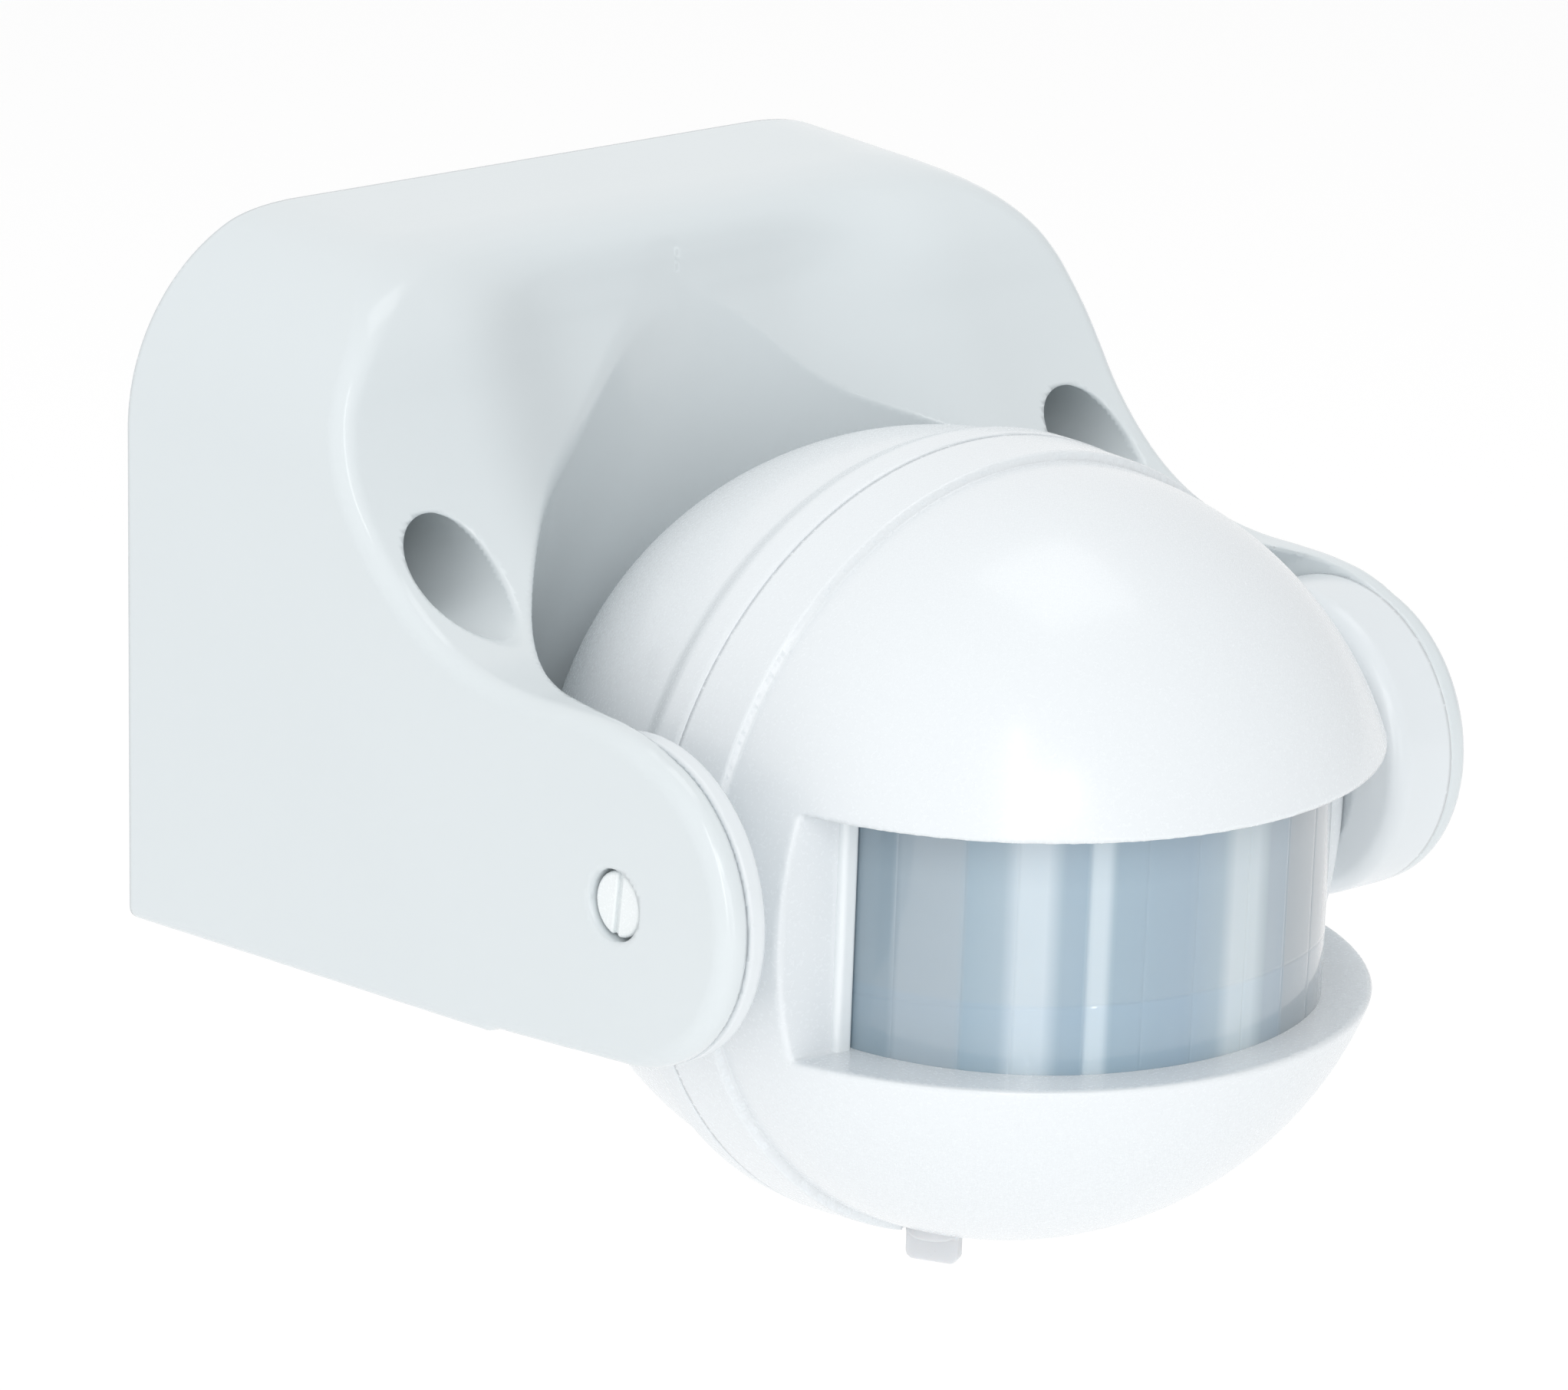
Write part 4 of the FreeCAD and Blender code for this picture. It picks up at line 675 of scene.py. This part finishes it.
def noise(nt, scale, detail=3.0, rough=0.5, coords=None):
    n = add(nt, "ShaderNodeTexNoise")
    n.inputs["Scale"].default_value = scale
    n.inputs["Detail"].default_value = detail
    n.inputs["Roughness"].default_value = rough
    if coords is not None:
        nt.links.new(coords, n.inputs["Vector"])
    return n


def ramp(nt, src, stops):
    r = add(nt, "ShaderNodeValToRGB")
    els = r.color_ramp.elements
    while len(els) < len(stops):
        els.new(0.5)
    for e, (p, c) in zip(els, stops):
        e.position = p
        e.color = (*c, 1.0) if len(c) == 3 else c
    nt.links.new(src, r.inputs["Fac"])
    return r


def linear(c):
    out = []
    for v in c:
        v = v / 255.0
        out.append(v / 12.92 if v <= 0.04045 else ((v + 0.055) / 1.055) ** 2.4)
    return tuple(out)


def span(nt, src, a, b, lo, hi):
    r = add(nt, "ShaderNodeMapRange")
    for k, v in (("From Min", a), ("From Max", b), ("To Min", lo), ("To Max", hi)):
        r.inputs[k].default_value = v
    nt.links.new(src, r.inputs["Value"])
    return r.outputs["Result"]


def plastic(name, base, dark, rough, grain_scale, grain, coat=0.0, sub=0.0, rough_span=0.08, metal=0.0, depth=0.00006, drift_scale=22.0, coat_rough=0.12):
    """Moulded plastic or plain metal: slight tone drift, fine grain in the bump, gloss that varies with the grain."""
    m, nt, b = new_material(name)
    tc = add(nt, "ShaderNodeTexCoord")
    obj = tc.outputs["Object"]
    drift = noise(nt, drift_scale, 2.0, 0.5, obj)
    col = ramp(nt, drift.outputs["Fac"], [(0.3, dark), (0.7, base)])
    nt.links.new(col.outputs["Color"], b.inputs["Base Color"])
    fine = noise(nt, grain_scale, 4.0, 0.65, obj)
    nt.links.new(span(nt, fine.outputs["Fac"], 0.3, 0.7, rough - rough_span, rough + rough_span), b.inputs["Roughness"])
    bump = add(nt, "ShaderNodeBump")
    bump.inputs["Strength"].default_value = grain
    bump.inputs["Distance"].default_value = depth
    nt.links.new(fine.outputs["Fac"], bump.inputs["Height"])
    nt.links.new(bump.outputs["Normal"], b.inputs["Normal"])
    b.inputs["Metallic"].default_value = metal
    b.inputs["Coat Weight"].default_value = coat
    b.inputs["Coat Roughness"].default_value = coat_rough
    b.inputs["Subsurface Weight"].default_value = sub
    b.inputs["Subsurface Radius"].default_value = (0.0012, 0.0010, 0.0009)
    b.inputs["Subsurface Scale"].default_value = 1.0
    b.inputs["IOR"].default_value = 1.5
    return m


W1, W2 = (0.662, 0.710, 0.730), (0.648, 0.696, 0.716)
H1, H2 = (0.748, 0.784, 0.808), (0.733, 0.769, 0.793)
mat_housing = plastic("white_housing", W1, W2, 0.17, 2600.0, 0.03, 0.0, 0.0, 0.025)
mat_head = plastic("white_head", H1, H2, 0.25, 2600.0, 0.055, 0.15, 0.0, 0.06)
mat_trunnion = plastic("white_trunnion", (0.715, 0.755, 0.78), (0.70, 0.74, 0.765), 0.24, 2600.0, 0.03, 0.0, 0.0, 0.03)
mat_screw = plastic("white_screw", (0.80, 0.84, 0.85), (0.76, 0.80, 0.81), 0.25, 3000.0, 0.2)
mat_knob = plastic("frosted_knob", (0.66, 0.68, 0.70), (0.58, 0.60, 0.63), 0.34, 1500.0, 0.3, 0.0, 0.4)
# near-black colour of the sheet on the right jamb: painted shade
mat_painted_shade_sheet = plastic("painted_shade_sheet", (0.115, 0.105, 0.098), (0.08, 0.075, 0.07), 0.5, 1800.0, 0.4)
mat_bead = plastic("gloss_white", (0.80, 0.84, 0.86), (0.78, 0.82, 0.84), 0.2, 1500.0, 0.1, 1.0, 0.0, 0.04, 0.0, 0.00004, 22.0, 0.04)


def room_painted_bounce_light(m):
    """A slightly lighter tone inside the ball room, in place of the bounced light there in the photo."""
    nt = m.node_tree
    b = nt.nodes["Principled BSDF"]
    tc = add(nt, "ShaderNodeTexCoord")
    d = add(nt, "ShaderNodeVectorMath", operation="DISTANCE")
    d.inputs[1].default_value = tuple(float(v) * MM for v in BALL)
    nt.links.new(tc.outputs["Object"], d.inputs[0])
    k = span(nt, d.outputs["Value"], 0.0429, 0.0434, 1.0, 0.0)
    sep = add(nt, "ShaderNodeSeparateXYZ")
    nt.links.new(tc.outputs["Object"], sep.inputs["Vector"])
    ab = add(nt, "ShaderNodeMath", operation="ABSOLUTE")
    nt.links.new(sep.outputs["X"], ab.inputs[0])
    mul = add(nt, "ShaderNodeMath", operation="MULTIPLY")
    nt.links.new(k, mul.inputs[0])
    nt.links.new(span(nt, ab.outputs["Value"], 0.0395, 0.0402, 1.0, 0.0), mul.inputs[1])
    k = mul.outputs["Value"]
    src = b.inputs["Base Color"].links[0].from_socket
    # mix in the lighter colour inside the ball room: painted bounced light
    x = add(nt, "ShaderNodeMix", data_type="RGBA", blend_type="MIX")
    nt.links.new(k, x.inputs[0])
    nt.links.new(src, x.inputs[6])
    x.inputs[7].default_value = (0.84, 0.86, 0.86, 1.0)
    nt.links.new(x.outputs[2], b.inputs["Base Color"])


room_painted_bounce_light(mat_housing)


def lens_material():
    """Milky sheet: each upright lens column has its own tone; the lighter bands are painted reflections of the soft
    boxes, and the top is darkened with painted shade under the hood.
    """
    m, nt, b = new_material("milky_lens")
    tc = add(nt, "ShaderNodeTexCoord")
    c = head_to_world(np.array([[0.0, 0.0, 0.0], [0.0, 1.0, 0.0]]))
    mp = add(nt, "ShaderNodeMapping", vector_type="TEXTURE")
    mp.inputs["Location"].default_value = tuple(float(v) * MM for v in c[0])
    mp.inputs["Rotation"].default_value = (float(math.atan2(c[1][2] - c[0][2], c[1][1] - c[0][1])), 0.0, 0.0)
    nt.links.new(tc.outputs["Object"], mp.inputs["Vector"])
    sep = add(nt, "ShaderNodeSeparateXYZ")
    nt.links.new(mp.outputs["Vector"], sep.inputs["Vector"])
    neg = add(nt, "ShaderNodeMath", operation="MULTIPLY")
    neg.inputs[1].default_value = -1.0
    nt.links.new(sep.outputs["Y"], neg.inputs[0])
    at = add(nt, "ShaderNodeMath", operation="ARCTAN2")
    nt.links.new(sep.outputs["X"], at.inputs[0])
    nt.links.new(neg.outputs["Value"], at.inputs[1])
    u = span(nt, at.outputs["Value"], math.radians(-72.0), math.radians(72.0), 0.0, 1.0)
    v = span(nt, sep.outputs["Z"], -0.0122, 0.0120, 0.0, 1.0)
    tone = []
    for lon, rgb in LENS_TONES_AND_REFLECTIONS:
        tone.append(((lon + 72.0) / 144.0, tuple(k * LENS_GAIN for k in linear(rgb))))
    col = ramp(nt, u, tone)
    # lower row slightly bluer; darker towards the top edge: painted shade under the hood
    shade = ramp(nt, v, [(0.0, (0.98, 1.0, 1.0)), (0.30, (0.97, 1.0, 1.03)), (0.315, (1.0, 1.0, 1.0)), (0.72, (1.0, 1.0, 1.0)), (0.92, (0.86, 0.87, 0.88)), (1.0, (0.8, 0.82, 0.84))])
    drift = noise(nt, 90.0, 3.0, 0.5, tc.outputs["Object"])
    soft = ramp(nt, drift.outputs["Fac"], [(0.3, (0.96, 0.965, 0.97)), (0.7, (1.0, 1.0, 1.0))])
    mix = col.outputs["Color"]
    for other in (shade, soft):
        x = add(nt, "ShaderNodeMix", data_type="RGBA", blend_type="MULTIPLY")
        x.inputs[0].default_value = 1.0
        nt.links.new(mix, x.inputs[6])
        nt.links.new(other.outputs["Color"], x.inputs[7])
        mix = x.outputs[2]
    nt.links.new(mix, b.inputs["Base Color"])
    fine = noise(nt, 2600.0, 2.0, 0.5, tc.outputs["Object"])
    nt.links.new(span(nt, fine.outputs["Fac"], 0.3, 0.7, 0.22, 0.27), b.inputs["Roughness"])
    b.inputs["Subsurface Weight"].default_value = 0.25
    b.inputs["Subsurface Radius"].default_value = (0.0008, 0.0010, 0.0012)
    b.inputs["Subsurface Scale"].default_value = 1.0
    b.inputs["Coat Weight"].default_value = 1.0
    b.inputs["Coat Roughness"].default_value = 0.03
    return m


LENS_GAIN = 0.86
# column tones by longitude; the light bands near -38, -27 and +3 degrees are painted reflections of the soft boxes
LENS_TONES_AND_REFLECTIONS = ((-70.0, (150, 168, 180)), (-64.0, (152, 170, 182)), (-62.0, (172, 186, 196)), (-51.0, (172, 186, 196)), (-49.5, (160, 182, 196)), (-43.5, (168, 188, 201)),
              (-40.5, (206, 220, 229)), (-36.0, (206, 220, 229)), (-33.0, (160, 182, 197)), (-29.0, (157, 180, 196)), (-28.0, (205, 220, 229)), (-25.5, (205, 220, 229)),
              (-24.0, (158, 181, 196)), (-10.0, (157, 178, 194)), (-3.0, (170, 188, 200)), (0.0, (205, 217, 223)), (5.5, (205, 217, 223)), (9.0, (170, 184, 194)),
              (14.2, (160, 176, 188)), (15.2, (161, 171, 178)), (45.0, (160, 169, 175)), (70.0, (152, 160, 167)))
mat_lens = lens_material()


def put(obj, mat):
    obj.data.materials.clear()
    obj.data.materials.append(mat)


put(housing, mat_housing)
for o in (front, rear):
    put(o, mat_head)
for tag in ("left", "right"):
    put(bpy.data.objects["trunnion_piece_" + tag], mat_trunnion)
    put(bpy.data.objects["pivot_piece_" + tag], mat_screw)
for tag in ("time", "lux"):
    put(bpy.data.objects["knob_piece_" + tag], mat_knob)
put(lens, mat_lens)
put(beads, mat_bead)
# the bead mesh beyond x = 26.4 mm is the sheet on the right jamb and gets the painted-shade colour
beads.data.materials.append(mat_painted_shade_sheet)
for poly in beads.data.polygons:
    if beads.data.vertices[poly.vertices[0]].co.x > 0.0264:
        poly.material_index = 1


def board_material(name):
    """Green solder mask over traces that show as slightly raised, lighter lines."""
    m, nt, b = new_material(name)
    tc = add(nt, "ShaderNodeTexCoord")
    v = add(nt, "ShaderNodeTexVoronoi", feature="DISTANCE_TO_EDGE", distance="MANHATTAN")
    v.inputs["Scale"].default_value = 320.0
    nt.links.new(tc.outputs["Object"], v.inputs["Vector"])
    col = ramp(nt, v.outputs["Distance"], [(0.0, (0.045, 0.19, 0.075)), (0.09, (0.04, 0.17, 0.07)), (0.12, (0.02, 0.10, 0.045)), (1.0, (0.015, 0.085, 0.04))])
    nt.links.new(col.outputs["Color"], b.inputs["Base Color"])
    bump = add(nt, "ShaderNodeBump", invert=True)
    bump.inputs["Strength"].default_value = 0.35
    bump.inputs["Distance"].default_value = 0.00008
    nt.links.new(v.outputs["Distance"], bump.inputs["Height"])
    nt.links.new(bump.outputs["Normal"], b.inputs["Normal"])
    fine = noise(nt, 900.0, 3.0, 0.5, tc.outputs["Object"])
    nt.links.new(span(nt, fine.outputs["Fac"], 0.3, 0.7, 0.22, 0.36), b.inputs["Roughness"])
    return m


def shade_of(c, k):
    return tuple(v * k for v in c)


def simple(name, c, rough=0.4, grain=0.3, metal=0.0, scale=1800.0, coat=0.0, dark=0.9, drift=60.0):
    return plastic(name, c, shade_of(c, dark), rough, scale, grain, coat, 0.0, 0.07, metal, 0.00005, drift)


inner = {
    "wall_plate": simple("white_plate", (0.70, 0.745, 0.765), 0.42, 0.4),
    "plate_seal": simple("seal_foam_grey", (0.16, 0.165, 0.17), 0.85, 1.0, 0.0, 700.0, 0.0, 0.7, 180.0),
    "cable_grommet": simple("grommet_rubber", (0.62, 0.63, 0.63), 0.6, 0.5, 0.0, 1200.0, 0.0, 0.85),
    "terminal_block": simple("terminal_nylon", (0.66, 0.65, 0.60), 0.45, 0.35, 0.0, 1400.0, 0.0, 0.9),
    "terminal_clamps": simple("brass", (0.72, 0.55, 0.27), 0.33, 0.3, 1.0, 1500.0, 0.0, 0.8, 220.0),
    "terminal_screws": simple("zinc_screw", (0.60, 0.60, 0.61), 0.30, 0.35, 1.0, 2200.0, 0.0, 0.82, 260.0),
    "terminal_fixing_screws": simple("zinc_screw_small", (0.58, 0.58, 0.60), 0.32, 0.35, 1.0, 2200.0, 0.0, 0.82, 260.0),
    "cable_strap": simple("strap_nylon", (0.64, 0.66, 0.66), 0.5, 0.4, 0.0, 1500.0),
    "cable_strap_screws": simple("strap_screw_zinc", (0.60, 0.60, 0.61), 0.3, 0.35, 1.0, 2200.0, 0.0, 0.82, 260.0),
    "housing_screws": simple("housing_screw_zinc", (0.57, 0.57, 0.585), 0.32, 0.35, 1.0, 2200.0, 0.0, 0.8, 240.0),
    "head_screws": simple("head_screw_zinc", (0.57, 0.57, 0.585), 0.32, 0.35, 1.0, 2200.0, 0.0, 0.8, 240.0),
    "shell_seal": simple("silicone_seal", (0.60, 0.62, 0.63), 0.55, 0.3, 0.0, 1300.0, 0.0, 0.88),
    "pivot_nuts": simple("pivot_nut_zinc", (0.60, 0.59, 0.56), 0.34, 0.4, 1.0, 1900.0, 0.0, 0.8, 240.0),
    "main_board": board_material("board_green"),
    "pir_sensor": simple("sensor_can_nickel", (0.66, 0.65, 0.62), 0.22, 0.15, 1.0, 1500.0, 0.0, 0.9, 200.0),
    "sensor_shade": simple("shade_black", (0.022, 0.022, 0.024), 0.5, 0.5, 0.0, 1700.0, 0.0, 0.7),
    "relay": simple("relay_blue", (0.03, 0.11, 0.36), 0.35, 0.35, 0.0, 1700.0, 0.2, 0.85),
    "film_capacitor": simple("capacitor_ochre", (0.52, 0.30, 0.05), 0.38, 0.4, 0.0, 1300.0, 0.3, 0.8),
    "electrolytic_capacitors": simple("capacitor_sleeve", (0.02, 0.025, 0.05), 0.28, 0.25, 0.0, 1600.0, 0.4, 0.7),
    "driver_chip": simple("chip_epoxy", (0.018, 0.018, 0.019), 0.5, 0.6, 0.0, 2300.0, 0.0, 0.7),
    "resistors": simple("resistor_tan", (0.46, 0.33, 0.19), 0.4, 0.3, 0.0, 1500.0, 0.3, 0.85, 400.0),
    "status_led": simple("led_red", (0.48, 0.02, 0.015), 0.12, 0.1, 0.0, 1200.0, 0.8, 0.8),
    "light_cell": simple("cell_ceramic", (0.42, 0.26, 0.13), 0.3, 0.3, 0.0, 2500.0, 0.5, 0.6, 900.0),
    "time_potentiometer": simple("pot_blue", (0.05, 0.13, 0.30), 0.42, 0.4, 0.0, 1700.0, 0.1, 0.85),
    "lux_potentiometer": simple("pot_blue_second", (0.05, 0.13, 0.30), 0.42, 0.4, 0.0, 1700.0, 0.1, 0.85),
    "board_screws": simple("board_screw_zinc", (0.6, 0.6, 0.61), 0.3, 0.35, 1.0, 2200.0, 0.0, 0.82, 260.0),
}
covered = {"bracket_housing", "head_front_shell", "head_rear_shell", "fresnel_lens", "trunnion_left", "trunnion_right", "pivot_screw_left", "pivot_screw_right",
           "time_knob", "lux_knob", "lens_frame"}
for name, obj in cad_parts.items():
    if name in covered:
        continue
    if name not in inner:
        print("no material for", name)
    put(obj, inner.get(name, inner["wall_plate"]))


# ------------------------------------------------------------------ floor and light
def flat(name, size, z):
    me = bpy.data.meshes.new(name)
    s = size / 2
    me.from_pydata([(-s, -s, z), (s, -s, z), (s, s, z), (-s, s, z)], [], [(0, 1, 2, 3)])
    o = bpy.data.objects.new(name, me)
    bpy.context.scene.collection.objects.link(o)
    return o


floor = flat("floor", 30.0, -0.30)
fm, fnt, fb = new_material("pale_floor")
fb.inputs["Base Color"].default_value = (0.96, 0.96, 0.96, 1.0)
fb.inputs["Emission Color"].default_value = (1.0, 1.0, 1.0, 1.0)
fb.inputs["Emission Strength"].default_value = 0.07
fb.inputs["Roughness"].default_value = 0.9
floor.data.materials.append(fm)

world = bpy.data.worlds.new("studio")
bpy.context.scene.world = world
world.use_nodes = True
wnt = world.node_tree
bgn = wnt.nodes["Background"]
bgn.inputs["Color"].default_value = (1.0, 1.0, 1.0, 1.0)
wtc = add(wnt, "ShaderNodeTexCoord")
dot = add(wnt, "ShaderNodeVectorMath", operation="DOT_PRODUCT")
dot.inputs[1].default_value = (0.80, -0.60, 0.0)
wnt.links.new(wtc.outputs["Generated"], dot.inputs[0])
wnt.links.new(span(wnt, dot.outputs["Value"], 0.2, 0.9, 1.0, 0.5), bgn.inputs["Strength"])


def area(name, loc, size, level, target=(0, -0.05, 0), color=(1, 1, 1)):
    """Soft box of the given width and height; level is its brightness against the white of the background."""
    l = bpy.data.lights.new(name, "AREA")
    l.shape = "RECTANGLE"
    l.size, l.size_y = size
    l.energy = level * math.pi * size[0] * size[1]
    l.color = color
    o = bpy.data.objects.new(name, l)
    o.location = loc
    o.rotation_euler = (Vector(target) - Vector(loc)).to_track_quat("-Z", "Y").to_euler()
    bpy.context.scene.collection.objects.link(o)
    return o


area("key_box", (-0.60, -1.28, 0.80), (0.34, 0.34), 4.0)
area("left_strip", (-0.923, -1.182, 0.58), (0.075, 1.7), 8.5)
area("front_fill", (-0.69, -1.30, 0.31), (0.6, 0.6), 1.0)
area("overhead", (0.35, -0.05, 1.40), (0.7, 0.7), 1.2)
area("lens_strip", (-0.24, -1.24, 0.02), (0.035, 0.62), 8.5)

bpy.context.scene.view_settings.view_transform = "Standard"
